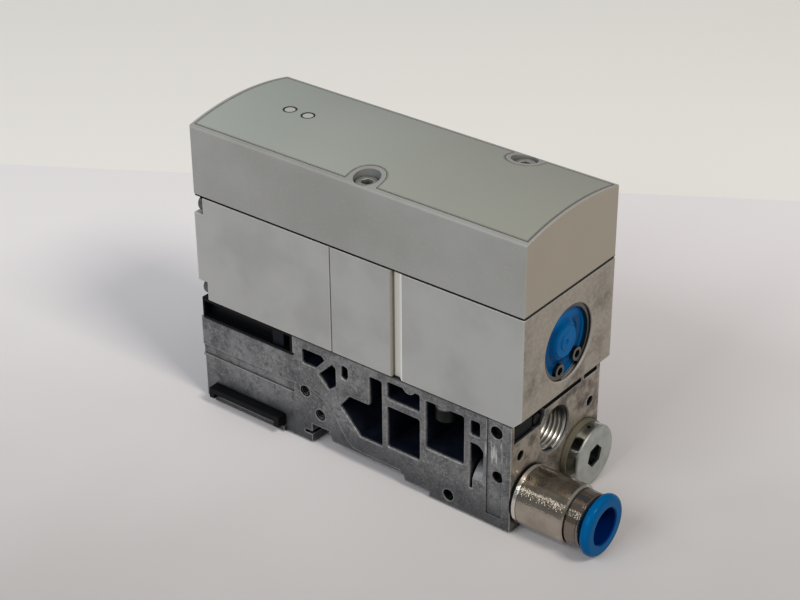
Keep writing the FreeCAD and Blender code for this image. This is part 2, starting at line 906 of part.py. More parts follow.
def pilot_housing():
    shape = box(body_left, joint_1, -half_width, half_width, body_bottom, body_top)
    right_edges = [edge for edge in edges_along(shape, V(0, 0, 1)) if edge.BoundBox.XMin > joint_1 - 1]
    shape = shape.makeChamfer(seam_bevel, right_edges)
    side = half_width - cavity_side
    floor = coil_z - frame_size / 2
    cuts = [box(body_left + cavity_end, joint_1 - cavity_wall, -side, side, floor, body_top + 1)]
    # corner notches with the seats of the pan heads
    for sign in (-1, 1):
        y0, y1 = sorted((sign * (half_width - notch_width), sign * (half_width + 1)))
        reach = pan_head_radius + notch_play
        heights = ((body_bottom - 1, body_bottom + pan_low + reach),
                   (body_top - pan_high - reach, body_top + 1))
        for low, high in heights:
            cuts.append(box(body_left - 1, body_left + notch_length, y0, y1, low, high))
    for y, z in pan_places():
        cuts.append(rod_x(body_left, joint_1 + 1, y, z, pan_radius + pan_play))
    # slot of the riser board in the floor, and the pilot passages to the plate
    cuts.append(box(riser_x - 0.3, riser_x + board_thickness + 0.3,
                    -riser_width / 2 - 0.3, riser_width / 2 + 0.3, body_bottom - 1, floor + 1))
    for y in coil_rows():
        cuts.append(rod_x(joint_1 - cavity_wall - 1, joint_1 + 1, y, coil_z, 0.8))
    return shape.cut(cuts)


def coil_rows():
    return [-coil_spacing / 2, coil_spacing / 2]


coil_z = body_bottom + coil_height
chamber_left = joint_2 - piston_end_gap - spool_stroke - piston_thickness - piston_gap


def intermediate_plate():
    shape = box(joint_1, joint_2, -half_width, half_width, body_bottom, body_top)
    shape = shape.makeChamfer(seam_bevel, edges_along(shape, V(0, 0, 1)))
    cuts = [rod_x(chamber_left, joint_2 + 1, 0, bore_z, chamber_radius)]
    for y in coil_rows():
        cuts.append(rod_x(joint_1 - 1, chamber_left + 1, y, coil_z, 0.8))
    for y, z in pan_places():
        cuts.append(rod_x(joint_1 - 1, joint_1 + pan_engagement + 0.5, y, z, pan_radius))
    for y, z in plate_screw_places():
        cuts.append(rod_x(joint_1 - 1, joint_2 + 1, y, z, plate_screw_radius + 0.15))
        seat = joint_1 + plate_screw_head_height + 0.2
        cuts.append(rod_x(joint_1 - 1, seat, y, z, plate_screw_head + 0.15))
    cuts.append(rod_z(near_screw_x, -screw_y, body_bottom - 1, body_top + 1, screw_radius + screw_play))
    return shape.cut(cuts)


def plate_screw_places():
    return [(sy * plate_screw_y, bore_z + sz * plate_screw_z) for sy in (-1, 1) for sz in (-1, 1)]


sleeve_right = bore_end - sleeve_setback
sleeve_left = sleeve_right - sleeve_length
ring_front = body_right - ring_depth
ring_back = ring_front - ring_thickness
plug_back = ring_back - plug_thickness


def regulator_body():
    """Right block: rebates beside the plate, a bevelled lower end, a stepped bore from the port end."""
    left = joint_2
    right = body_right
    profile = [
        (left, body_bottom),
        (right - body_end_bevel, body_bottom),
        (right, body_bottom + body_end_bevel),
        (right, body_top),
        (left, body_top),
    ]
    shape = prism_y(profile, -half_width, half_width)
    end_edges = [edge for edge in edges_along(shape, V(0, 0, 1)) if edge.BoundBox.XMin > right - 1]
    shape = shape.makeFillet(0.5, end_edges)
    cuts = []
    for side in (-1, 1):
        face = side * half_width
        floor = face - side * rebate_depth
        outside = face + side
        outline = [
            V(left - 1, outside, body_bottom - 1),
            V(left - 1, floor, body_bottom - 1),
            V(left + rebate_length, floor, body_bottom - 1),
            V(left + rebate_length + rebate_bevel, face, body_bottom - 1),
            V(left + rebate_length + rebate_bevel, outside, body_bottom - 1),
        ]
        rebate = Part.Face(Part.makePolygon(outline + outline[:1])).extrude(V(0, 0, body_height + 2))
        cuts.append(rebate)
    cuts.append(turned_x([
        (right + 1, 0),
        (right + 1, bore_radius + bore_mouth + 1),
        (right - bore_mouth, bore_radius),
        (bore_end, bore_radius),
        (bore_end, 0),
    ], 0, bore_z))
    cuts.append(rod_x(sleeve_left - sleeve_end_play, bore_end + 1, 0, bore_z, sleeve_radius + sleeve_play))
    cuts.append(rod_x(left - 1, sleeve_left + 1, 0, bore_z, stem_radius + stem_play))
    cuts.append(rod_x(ring_back - 0.05, ring_front + 0.05, 0, bore_z, ring_groove))
    cuts += valve_passages(body_bottom - 1, bore_z - sleeve_radius + 1.5, 0)
    cuts += [rod_z(vent_port_x, y, body_bottom - 1, bore_z - 2, port_slot_width / 2)
             for y in (-vent_port_y, vent_port_y)]
    cuts.append(rod_z(far_screw_x, screw_y, body_bottom - 1, body_top + 1, screw_radius + screw_play))
    for y, z in plate_screw_places():
        cuts.append(rod_x(left - 1, left + plate_screw_engagement + 0.5, y, z, plate_screw_radius))
    cuts.append(rod_z(sensor_x, sensor_y, body_top - sensor_seat, body_top + 1, sensor_radius + 0.1))
    cuts.append(rod_z(sensor_x, sensor_y, bore_z + 5.2, body_top, sensor_duct))
    return shape.cut(cuts)


def pan_screw(y, z):
    seat = body_left + notch_length
    end = joint_1 + pan_engagement
    head = rod_x(seat - pan_head_height, seat, y, z, pan_head_radius)
    rim = [edge for edge in head.Edges if edge.BoundBox.XMax < seat - pan_head_height + 0.01]
    head = head.makeFillet(0.7, rim)
    recess = hexagon_x(seat - pan_head_height - 1, seat - pan_head_height + 1.1, y, z, 1.6)
    return head.cut(recess).fuse(rod_x(seat, end, y, z, pan_radius)).removeSplitter()


def plate_screw(y, z):
    seat = joint_1 + plate_screw_head_height + 0.2
    head = rod_x(seat - plate_screw_head_height, seat, y, z, plate_screw_head)
    recess = hexagon_x(seat - plate_screw_head_height - 1, seat - 1.4, y, z, 2.5)
    shank = rod_x(seat, joint_2 + plate_screw_engagement, y, z, plate_screw_radius)
    return head.cut(recess).fuse(shank).removeSplitter()


def crown_height(y):
    return crown_centre + math.sqrt(crown_radius ** 2 - y ** 2)


head_top = crown_height(screw_y) - screw_head_depth
head_seat = head_top - screw_head_height


def mounting_screw(x, y, low):
    head = rod_z(x, y, head_seat, head_top, screw_head_radius)
    rim = [edge for edge in head.Edges if edge.BoundBox.ZMin > head_top - 0.01]
    head = head.makeFillet(0.4, rim)
    recess = hexagon_z(x, y, head_top - 2.2, head_top + 1, screw_hex)
    return head.cut(recess).fuse(rod_z(x, y, low, head_seat, screw_radius)).removeSplitter()


# Cover, label and lights
def light_places():
    left = body_left + light_first_x
    return [(left, 0), (left + light_spacing, 0)]


def boss_outline(x, y, radius, z0, z1):
    """Plan of a screw boss: round inside, running out square to the long edge."""
    edge = math.copysign(half_width + 1, y)
    y0, y1 = sorted((y, edge))
    return rod_z(x, y, z0, z1, radius).fuse(box(x - radius, x + radius, y0, y1, z0, z1)).removeSplitter()


def label_region(gap, drop, z_low):
    """Plan area of the label, under the crown lowered by drop."""
    reach = half_width - label_rim - gap
    region = crown_block(body_left + label_end_rim + gap, body_right - label_end_rim - gap, reach, z_low,
                         drop)
    bosses = [boss_outline(x, y, cover_boss_radius - 0.1 + gap, z_low - 1, crown_centre + crown_radius + 1)
              for x, y in mounting_places]
    return region.cut(bosses)


def top_cover():
    shape = crown_block(body_left, body_right, half_width, cover_bottom, 0)
    soft = [edge for edge in edges_along(shape, V(0, 0, 1))]
    soft += [edge for edge in edges_along(shape, V(1, 0, 0)) if edge.BoundBox.ZMin > cover_side_top - 1]
    shape = shape.makeFillet(cover_edge, soft)
    hollow = crown_block(body_left + cover_wall, body_right - cover_wall, half_width - cover_wall,
                         cover_bottom - 1, cover_wall)
    bosses = [rod_z(x, y, cover_bottom - 1, cover_side_top + crown_rise, cover_boss_radius)
              for x, y in mounting_places]
    webs = []
    for x, y in mounting_places:
        y0, y1 = sorted((y, math.copysign(half_width - cover_wall + 0.1, y)))
        webs.append(box(x - 1.5, x + 1.5, y0, y1, cover_bottom - 1, cover_side_top))
    shape = shape.cut(hollow.cut(bosses + webs))
    low = crown_height(half_width) - 6
    recess = label_region(0, -1, low).cut(label_region(-1, label_thickness, low - 1))
    cuts = [recess]
    for x, y in mounting_places:
        cuts.append(rod_z(x, y, cover_bottom - 1, cover_side_top + 5, screw_radius + screw_play))
        cuts.append(rod_z(x, y, head_seat, cover_side_top + 5, recess_radius))
    for x, y in light_places():
        cuts.append(rod_z(x, y, board_top, cover_side_top + 5, light_radius + light_play))
    return shape.cut(cuts)


def label_film():
    low = crown_height(half_width) - 5
    film = label_region(label_gap, 0.02, low).cut(label_region(-1, label_thickness, low - 1))
    holes = [rod_z(x, y, low - 1, cover_side_top + 5, light_radius + light_play)
             for x, y in light_places()]
    return film.cut(holes)


def status_lights():
    lights = []
    for x, y in light_places():
        pipe = rod_z(x, y, board_top + light_chip, crown_height(y) - 0.1, light_radius)
        ceiling = crown_height(0) - cover_wall
        collar = rod_z(x, y, ceiling - 1.3, ceiling - 0.1, light_ring)
        lights.append(pipe.fuse(collar).removeSplitter())
    return group(lights)


def light_chips():
    half = light_chip / 2 + 0.2
    return group([box(x - half, x + half, y - half, y + half, board_top, board_top + light_chip)
                  for x, y in light_places()])


def cover_seal_frame():
    outer_x = body_right - cover_seal_inset
    outer_y = half_width - cover_seal_inset
    frame = box(-outer_x, outer_x, -outer_y, outer_y, body_top, cover_bottom)
    width = cover_seal_width
    return frame.cut(box(-outer_x + width, outer_x - width, -outer_y + width, outer_y - width,
                         body_top - 1, cover_bottom + 1))


def standoff_places():
    x = body_right - cover_wall - standoff_inset_x
    y = half_width - cover_wall - standoff_inset_y
    return [(standoff_middle_x, -y), (standoff_middle_x, y), (x, -y), (x, y)]


def circuit_board():
    x = body_right - cover_wall - board_margin
    y = half_width - cover_wall - board_margin
    board = box(-x, x, -y, y, board_bottom, board_top)
    around = cover_boss_radius + 0.6
    cuts = []
    for px, py in mounting_places:
        y0, y1 = sorted((py, math.copysign(half_width, py)))
        cuts.append(rod_z(px, py, board_bottom - 1, board_top + 1, around))
        cuts.append(box(px - around, px + around, y0, y1, board_bottom - 1, board_top + 1))
    for px, py in standoff_places():
        cuts.append(rod_z(px, py, board_bottom - 1, board_top + 1, board_screw_radius + 0.1))
    return board.cut(cuts)


def board_standoffs():
    posts = []
    for x, y in standoff_places():
        post = rod_z(x, y, body_top, board_bottom, standoff_radius)
        thread_end = board_bottom - board_screw_length - board_screw_run_out
        posts.append(post.cut(rod_z(x, y, thread_end, board_bottom + 1, board_screw_radius)))
    return group(posts)


def board_screws():
    screws = []
    for x, y in standoff_places():
        head_top = board_top + board_screw_head_height
        head = rod_z(x, y, board_top, head_top, board_screw_head)
        rim = [edge for edge in head.Edges if edge.BoundBox.ZMin > head_top - 0.01]
        head = head.makeFillet(board_screw_head_round, rim)
        shank = rod_z(x, y, board_bottom - board_screw_length, board_top, board_screw_radius)
        screws.append(head.fuse(shank).removeSplitter())
    return group(screws)


def control_chips():
    chips = []
    for x, y, length, width in ((processor_x, processor_y, processor_side, processor_side),
                                (driver_x, driver_y, driver_length, driver_width),
                                (amplifier_x, amplifier_y, amplifier_length, amplifier_width),
                                (bus_chip_x, bus_chip_y, bus_chip_length, bus_chip_width)):
        chips.append(box(x - length / 2, x + length / 2, y - width / 2, y + width / 2,
                         board_top, board_top + chip_height))
    return group(chips)


def riser_board():
    low = body_bottom - carrier_play - 2
    return box(riser_x, riser_x + board_thickness, -riser_width / 2, riser_width / 2, low, board_bottom)


def pressure_sensor():
    can = rod_z(sensor_x, sensor_y, body_top - sensor_seat + 0.5, board_bottom, sensor_radius)
    seat = body_top - sensor_seat
    return can.cut(rod_z(sensor_x, sensor_y, seat, seat + 1.5, sensor_duct))


def sensor_seal():
    low = body_top - sensor_seat
    disc = rod_z(sensor_x, sensor_y, low, low + 0.5, sensor_radius - 0.6)
    return disc.cut(rod_z(sensor_x, sensor_y, low - 1, low + 1, sensor_duct + 0.6))


# Pilot solenoids
frame_right = joint_1 - cavity_wall
frame_left = frame_right - frame_length
bobbin_left = frame_left + frame_sheet
bobbin_right = frame_right - frame_sheet
armature_right_end = frame_right - armature_rest_gap
armature_left_end = armature_right_end - armature_length
core_right = armature_left_end - armature_stroke - armature_rest_gap


def coil_frame(y):
    half = frame_size / 2
    frame = box(frame_left, frame_right, y - half, y + half, coil_z - half, coil_z + half)
    sheet = frame_sheet
    window = box(frame_left + sheet, frame_right - sheet, y - half + sheet, y + half - sheet,
                 coil_z - half - 1, coil_z + half + 1)
    return frame.cut([window, rod_x(frame_left - 1, frame_right + 1, y, coil_z, bobbin_bore)])


def coil_bobbin(y):
    left = bobbin_left
    right = bobbin_right
    flange = bobbin_flange_thickness
    outline = [
        (left, bobbin_bore),
        (left, bobbin_flange),
        (left + flange, bobbin_flange),
        (left + flange, bobbin_tube),
        (right - flange, bobbin_tube),
        (right - flange, bobbin_flange),
        (right, bobbin_flange),
        (right, bobbin_bore),
    ]
    return turned_x(outline, y, coil_z)


def coil_winding(y):
    left = bobbin_left + bobbin_flange_thickness
    right = bobbin_right - bobbin_flange_thickness
    winding = rod_x(left, right, y, coil_z, winding_radius)
    return winding.cut(rod_x(left - 1, right + 1, y, coil_z, bobbin_tube))


def coil_core(y):
    return rod_x(frame_left, core_right, y, coil_z, bobbin_bore)


def armature(y):
    """Plunger with a pocket for its spring in the end that faces the core."""
    body = rod_x(armature_left_end, armature_right_end, y, coil_z, armature_radius)
    pocket_radius = armature_spring_radius + armature_wire + 0.2
    pocket_end = armature_left_end + armature_pocket
    return body.cut(rod_x(armature_left_end - 1, pocket_end, y, coil_z, pocket_radius))


def armature_spring(y):
    return spring_x(core_right, armature_left_end + armature_pocket, y, coil_z, armature_spring_radius,
                    armature_wire, armature_turns)


# Regulator: sleeve, spool, piston, spring, plug
def valve_sleeve():
    shape = rod_x(sleeve_left, sleeve_right, 0, bore_z, sleeve_radius)
    cuts = [rod_x(sleeve_left - 1, sleeve_right + 1, 0, bore_z, sleeve_bore)]
    for x in (supply_port_x, output_port_x):
        ring = rod_x(x - annulus_width / 2, x + annulus_width / 2, 0, bore_z, sleeve_radius + 1)
        kept = rod_x(x - annulus_width, x + annulus_width, 0, bore_z, sleeve_radius - annulus_depth)
        cuts.append(ring.cut(kept))
        cuts.append(rod_z(x, 0, bore_z - sleeve_radius - 1, bore_z + sleeve_radius + 1, sleeve_port_radius))
        cuts.append(rod_y(x, -sleeve_radius - 1, sleeve_radius + 1, bore_z, sleeve_port_radius))
    for x in seal_places():
        ring = rod_x(x - seal_section, x + seal_section, 0, bore_z, sleeve_radius + 1)
        cuts.append(ring.cut(rod_x(x - 2, x + 2, 0, bore_z, sleeve_radius - 2 * seal_section)))
    return shape.cut(cuts)


def seal_places():
    middle = (supply_port_x + output_port_x) / 2
    right = (output_port_x + annulus_width / 2 + sleeve_right) / 2
    return [middle, right]


def sleeve_seals():
    outer = sleeve_radius + sleeve_play - seal_squeeze
    return group([ring_seal_x(x, 0, bore_z, outer, seal_section - 0.02) for x in seal_places()])


flange_left = sleeve_right + spool_rest_gap
flange_right = flange_left + spool_flange_thickness
stem_end = sleeve_left + 0.7
piston_left = chamber_left + piston_gap
piston_right = piston_left + piston_thickness


def main_spool():
    outline = [
        (stem_end, 0),
        (stem_end, spool_radius),
        (supply_port_x + annulus_width / 2, spool_radius),
        (supply_port_x + annulus_width / 2 + 0.8, spool_neck),
        (output_port_x - 0.5, spool_neck),
        (output_port_x + 0.3, spool_radius),
        (output_port_x + 4.0, spool_radius),
        (output_port_x + 4.8, spool_neck),
        (flange_left - 3.0, spool_neck),
        (flange_left - 2.2, spool_radius),
        (flange_left, spool_radius),
        (flange_left, spool_flange),
        (flange_right, spool_flange),
        (flange_right, return_spring_radius - return_wire - 0.3),
        (flange_right + 1.5, return_spring_radius - return_wire - 0.3),
        (flange_right + 1.5, 0),
    ]
    return turned_x(outline, 0, bore_z)


def control_piston():
    groove = piston_radius - 2 * seal_section
    middle = (piston_left + piston_right) / 2
    outline = [
        (piston_left, 0),
        (piston_left, piston_radius),
        (middle - seal_section, piston_radius),
        (middle - seal_section, groove),
        (middle + seal_section, groove),
        (middle + seal_section, piston_radius),
        (piston_right, piston_radius),
        (piston_right, stem_radius),
        (stem_end, stem_radius),
        (stem_end, 0),
    ]
    return turned_x(outline, 0, bore_z)


def piston_seal():
    middle = (piston_left + piston_right) / 2
    return ring_seal_x(middle, 0, bore_z, chamber_radius - seal_squeeze, seal_section - 0.02)


pocket_bottom = plug_back + plug_pocket_depth


def closing_plug():
    """Plastic plug: a raised disc with a dimple in front, a spring pocket behind."""
    radius = bore_radius - plug_play
    front = ring_back
    disc = front + plug_rise
    seal_x = plug_seal_place()
    seal_floor = radius - 2 * seal_section
    outline = [
        (disc - 0.7, 0),
        (disc, plug_dimple),
        (disc, plug_ring - 0.25),
        (disc - 0.25, plug_ring),
        (disc - 0.25, plug_disc - 0.25),
        (disc - 0.5, plug_disc),
        (front, plug_base),
        (front, radius),
        (seal_x + seal_section, radius),
        (seal_x + seal_section, seal_floor),
        (seal_x - seal_section, seal_floor),
        (seal_x - seal_section, radius),
        (plug_back, radius),
        (plug_back, plug_pocket_radius),
        (pocket_bottom, plug_pocket_radius),
        (pocket_bottom, 0),
    ]
    return turned_x(outline, 0, bore_z)


def plug_seal_place():
    return plug_back + plug_thickness * 0.4


def closing_plug_seal():
    return ring_seal_x(plug_seal_place(), 0, bore_z, bore_radius - seal_squeeze, seal_section - 0.02)


def retaining_ring():
    """Inner retaining ring with two eyes beside its gap."""
    ring = rod_x(ring_back, ring_front, 0, bore_z, ring_outer)
    ring = ring.cut(rod_x(ring_back - 1, ring_front + 1, 0, bore_z, ring_inner))
    lugs = []
    eyes = []
    for side in (-1, 1):
        angle = math.radians(ring_gap_angle + side * lug_angle)
        y = lug_orbit * math.cos(angle)
        z = bore_z + lug_orbit * math.sin(angle)
        lugs.append(rod_x(ring_back, ring_front, y, z, lug_radius))
        eyes.append(rod_x(ring_back - 1, ring_front + 1, y, z, lug_eye))
    # wedge of the gap between the eyes
    spread = math.radians(lug_angle - 8)
    middle = math.radians(ring_gap_angle)
    wedge = [V(ring_back - 1, 0, bore_z)]
    for angle in (middle - spread, middle + spread):
        wedge.append(V(ring_back - 1, 20 * math.cos(angle), bore_z + 20 * math.sin(angle)))
    gap = Part.Face(Part.makePolygon(wedge + wedge[:1])).extrude(V(ring_thickness + 2, 0, 0))
    inside = rod_x(ring_back, ring_front, 0, bore_z, ring_outer)
    lugs = [lug.common(inside) for lug in lugs]
    return ring.cut(gap).fuse(lugs).removeSplitter().cut(eyes)


def return_spring():
    return spring_x(flange_right, pocket_bottom, 0, bore_z, return_spring_radius, return_wire, return_turns)


# Push-in fitting
fit_y, fit_z = port_places[0][:2]
fitting_back = base_right + fitting_seal_thickness
fitting_front = fitting_back + fitting_length
cartridge_front = fitting_front + cartridge_length
cartridge_back = fitting_front - cartridge_seat
seal_pocket_left = cartridge_back - seal_pocket_length
tube_stop_x = base_right + tube_stop_depth
flange_back = cartridge_front + release_stroke + 0.1
flange_front = flange_back + release_flange_length


def groove_points(x, radius, size):
    """Square groove cut round a turned outline."""
    floor = radius - size
    return [(x, radius), (x, floor), (x + size, floor), (x + size, radius)]


def fitting_body():
    shank = thread_radius - thread_play
    outline = [
        (base_right - fitting_shank, tube_stop),
        (base_right - fitting_shank, shank - 0.6),
        (base_right - fitting_shank + 0.6, shank),
        (fitting_back, shank),
        (fitting_back, fitting_radius - fitting_bevel),
        (fitting_back + fitting_bevel, fitting_radius),
        *groove_points(fitting_back + fitting_collar, fitting_radius, fitting_groove),
        (fitting_front - fitting_bevel, fitting_radius),
        (fitting_front, fitting_radius - fitting_bevel),
        (fitting_front, cartridge_radius - 0.9),
        (cartridge_back, cartridge_radius - 0.9),
        (cartridge_back, seal_pocket),
        (seal_pocket_left, seal_pocket),
        (seal_pocket_left, tube_radius),
        (tube_stop_x, tube_radius),
        (tube_stop_x, tube_stop),
    ]
    return turned_x(outline, fit_y, fit_z)


def fitting_cartridge():
    """Sleeve pressed into the body, with a shoulder that shows as the slimmer end."""
    inner = cartridge_radius - 0.9
    outline = [
        (cartridge_back + grab_thickness, cartridge_bore),
        (cartridge_back + grab_thickness, inner),
        (fitting_front + 0.5, inner),
        (fitting_front + 0.5, cartridge_radius),
        *groove_points(cartridge_front - cartridge_collar, cartridge_radius, cartridge_groove),
        (cartridge_front - 0.3, cartridge_radius),
        (cartridge_front, cartridge_radius - 0.3),
        (cartridge_front, cartridge_bore),
    ]
    return turned_x(outline, fit_y, fit_z)


def fitting_seal():
    ring = rod_x(base_right, fitting_back, fit_y, fit_z, fitting_seal_radius)
    return ring.cut(rod_x(base_right - 1, fitting_back + 1, fit_y, fit_z, thread_radius))


def tube_seal():
    """Lip seal that closes on the tube."""
    outline = [
        (seal_pocket_left, tube_radius),
        (seal_pocket_left, seal_pocket),
        (cartridge_back, seal_pocket),
        (cartridge_back, tube_radius + 0.3),
        (cartridge_back - 0.8, tube_radius),
    ]
    return turned_x(outline, fit_y, fit_z)


def grab_ring():
    """Flat toothed ring that bites on the tube, held between the seal and the cartridge."""
    outer = cartridge_radius - 0.9
    ring = rod_x(cartridge_back, cartridge_back + grab_thickness, fit_y, fit_z, outer)
    ring = ring.cut(rod_x(cartridge_back - 1, cartridge_back + 1, fit_y, fit_z, tube_radius))
    slots = []
    for step in range(8):
        angle = 45 * step
        slot = box(cartridge_back - 1, cartridge_back + 1, fit_y - 0.25, fit_y + 0.25, fit_z, fit_z + 5.9)
        slot.rotate(V(0, fit_y, fit_z), V(1, 0, 0), angle)
        slots.append(slot)
    return ring.cut(slots)


def release_ring():
    left = cartridge_back + grab_thickness + release_stroke + 0.1
    outline = [
        (left, tube_radius),
        (left, release_sleeve),
        (flange_back, release_sleeve),
        (flange_back, release_flange_radius),
        (flange_front, release_flange_radius),
        (flange_front, tube_radius + release_mouth),
        (flange_front - release_mouth, tube_radius),
    ]
    ring = turned_x(outline, fit_y, fit_z)
    circles = [edge for edge in ring.Edges if edge.Curve.TypeId == "Part::GeomCircle"]
    rims = [edge for edge in circles if abs(edge.Curve.Radius - release_flange_radius) < 0.01]
    return ring.makeFillet(release_round, rims)


# Blanking plug
blank_y, blank_z = port_places[1][:2]


def blanking_plug():
    shank = thread_radius - thread_play
    back = base_right + blank_seal_thickness
    front = back + blank_flange_length
    outline = [
        (base_right - blank_shank, 0),
        (base_right - blank_shank, shank - 0.6),
        (base_right - blank_shank + 0.6, shank),
        (back, shank),
        (back, blank_flange_radius),
        (front - blank_bevel, blank_flange_radius),
        (front, blank_flange_radius - blank_bevel),
        (front, 0),
    ]
    plug = turned_x(outline, blank_y, blank_z)
    socket = hexagon_x(front - blank_hex_depth, front + 1, blank_y, blank_z, blank_hex, blank_hex_turn)
    return plug.cut(socket)


def blanking_seal():
    back = base_right + blank_seal_thickness
    ring = rod_x(base_right, back, blank_y, blank_z, blank_seal_radius)
    return ring.cut(rod_x(base_right - 1, back + 1, blank_y, blank_z, thread_radius))


near_screw_low = gasket_floor - screw_engagement
far_screw_low = gasket_floor - screw_boss_reach + 1.3

save("sub_base", sub_base())
save("pocket_insert", pocket_insert())
save("insert_screw", insert_screw())
save("base_gasket", base_gasket())
save("electronics_carrier", electronics_carrier())
save("window_blocks", window_blocks())
save("link_header", link_header())
save("bus_board", bus_board())
save("bus_plug", bus_plug())
save("bus_contacts", bus_contacts())
save("bus_socket", bus_socket())
save("pilot_housing", pilot_housing())
save("intermediate_plate", intermediate_plate())
save("regulator_body", regulator_body())
save("housing_screws", group([pan_screw(y, z) for y, z in pan_places()]))
save("plate_screws", group([plate_screw(y, z) for y, z in plate_screw_places()]))
save("mounting_screws", group([
    mounting_screw(near_screw_x, -screw_y, near_screw_low),
    mounting_screw(far_screw_x, screw_y, far_screw_low),
]))
save("top_cover", top_cover())
save("label_film", label_film())
save("status_lights", status_lights())
save("light_chips", light_chips())
save("cover_seal", cover_seal_frame())
save("circuit_board", circuit_board())
save("board_standoffs", board_standoffs())
save("board_screws", board_screws())
save("control_chips", control_chips())
save("riser_board", riser_board())
save("pressure_sensor", pressure_sensor())
save("sensor_seal", sensor_seal())
save("coil_frames", group([coil_frame(y) for y in coil_rows()]))
save("coil_bobbins", group([coil_bobbin(y) for y in coil_rows()]))
save("coil_windings", group([coil_winding(y) for y in coil_rows()]))
save("coil_cores", group([coil_core(y) for y in coil_rows()]))
for place, y in zip(("near", "far"), coil_rows()):
    save("armature_" + place, armature(y))
    save("armature_spring_" + place, armature_spring(y))
save("valve_sleeve", valve_sleeve())
save("sleeve_seals", sleeve_seals())
save("main_spool", main_spool())
save("control_piston", control_piston())
save("piston_seal", piston_seal())
save("return_spring", return_spring())
save("closing_plug", closing_plug())
save("closing_plug_seal", closing_plug_seal())
save("retaining_ring", retaining_ring())
save("fitting_body", fitting_body())
save("fitting_cartridge", fitting_cartridge())
save("fitting_seal", fitting_seal())
save("tube_seal", tube_seal())
save("grab_ring", grab_ring())
save("release_ring", release_ring())
save("blanking_plug", blanking_plug())
save("blanking_seal", blanking_seal())
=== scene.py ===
# %% [markdown]
# # A proportional pressure regulator on its cast sub-base
# The real object is a valve of three grey metal blocks under a crowned plastic cover, bolted on a
# die-cast sub-base full of air channels. At one end are a push-in tube fitting, a blanking plug and
# an open threaded port. The solids come from the CAD frame. This lesson gives every solid its
# finish, adds the threads and the springs that give way, and sets the stage.

# %% Load the frame
import json
import math
import bpy
import bmesh
from mathutils import Matrix, Vector


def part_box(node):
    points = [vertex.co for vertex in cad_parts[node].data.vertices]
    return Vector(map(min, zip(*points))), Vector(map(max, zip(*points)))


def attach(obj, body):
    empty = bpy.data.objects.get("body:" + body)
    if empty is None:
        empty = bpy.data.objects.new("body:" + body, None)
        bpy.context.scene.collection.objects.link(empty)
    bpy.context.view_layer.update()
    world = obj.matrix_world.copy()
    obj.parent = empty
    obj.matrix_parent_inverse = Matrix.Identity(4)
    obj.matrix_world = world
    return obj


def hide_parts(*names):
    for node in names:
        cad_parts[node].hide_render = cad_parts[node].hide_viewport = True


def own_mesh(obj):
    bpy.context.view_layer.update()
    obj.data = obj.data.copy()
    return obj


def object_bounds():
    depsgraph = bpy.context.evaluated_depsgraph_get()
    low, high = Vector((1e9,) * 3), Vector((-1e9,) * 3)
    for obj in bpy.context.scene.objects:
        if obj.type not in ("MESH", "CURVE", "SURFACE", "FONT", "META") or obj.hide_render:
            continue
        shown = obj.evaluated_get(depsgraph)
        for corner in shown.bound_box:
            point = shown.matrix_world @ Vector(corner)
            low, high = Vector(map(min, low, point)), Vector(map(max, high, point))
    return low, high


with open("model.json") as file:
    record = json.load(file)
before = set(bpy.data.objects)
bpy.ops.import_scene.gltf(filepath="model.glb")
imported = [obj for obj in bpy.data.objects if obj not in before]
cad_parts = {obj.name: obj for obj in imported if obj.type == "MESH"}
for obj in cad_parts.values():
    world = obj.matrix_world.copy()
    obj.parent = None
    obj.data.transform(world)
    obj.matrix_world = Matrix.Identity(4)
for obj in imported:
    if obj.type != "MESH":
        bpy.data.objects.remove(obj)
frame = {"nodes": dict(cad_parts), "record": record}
cad_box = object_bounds()
nodes = frame["nodes"]
print("nodes", len(nodes), "box", [round(v, 4) for corner in cad_box for v in corner])

# %% [markdown]
# ## Places on the solids
# Many finishes change at a place: a bare end face, a seam between two blocks, the wall of a bore.
# Such places could be typed in, but then they go wrong when a piece moves. Here they are measured
# on the solids. The features are a few millimetres wide, so the lesson counts in millimetres, and
# MM turns them into Blender's metres. X runs towards the ports, Y away from the camera and Z up.

# %% Measure the solids
MM = 0.001


def span(node, axis):
    """Where a solid starts and ends along one axis, in millimetres."""
    return [corner["XYZ".index(axis)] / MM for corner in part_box(node)]


def middle(node, axis):
    """The place halfway along a solid, in millimetres."""
    return sum(span(node, axis)) / 2


mounts = {mount["name"]: mount for mount in frame["record"]["mounts"]}
port_y, port_z = [place / MM for place in mounts["open_port"]["pos_m"][1:]]
fitting_y, fitting_z = [place / MM for place in mounts["tube_socket"]["pos_m"][1:]]
block_end = span("regulator_body", "X")[1]
plate_left, plate_right = span("intermediate_plate", "X")
cover_foot = span("top_cover", "Z")[0]
base_end = span("sub_base", "X")[1]
base_side = span("sub_base", "Y")[1]
fitting_end = span("fitting_body", "X")[1]
print("blocks end at", round(block_end, 2), "and the sub-base at", round(base_end, 2))

# %% [markdown]
# ## How a finish is mixed
# A real finish is never one flat colour. Metal and plastic vary a little from place to place, carry
# a fine grain, and catch light on their edges. Pictures wrapped round the solids could show that,
# but they need unwrapping and go soft close up, so each finish is a tree of shader nodes instead.
# Wired by hand, such a tree soon fills the screen. Three small classes wire it in a few lines: the
# first joins nodes, the second makes masks, and the third lays shades over each other.

# %% Colours as they are seen on screen
def seen(red, green, blue):
    """Screen values from 0 to 255 as linear light, the way sockets want them."""
    levels = [value / 255 for value in (red, green, blue)]
    return [v / 12.92 if v <= 0.04045 else ((v + 0.055) / 1.055) ** 2.4 for v in levels] + [1.0]


print("mid grey is", [round(v, 3) for v in seen(128, 128, 128)])


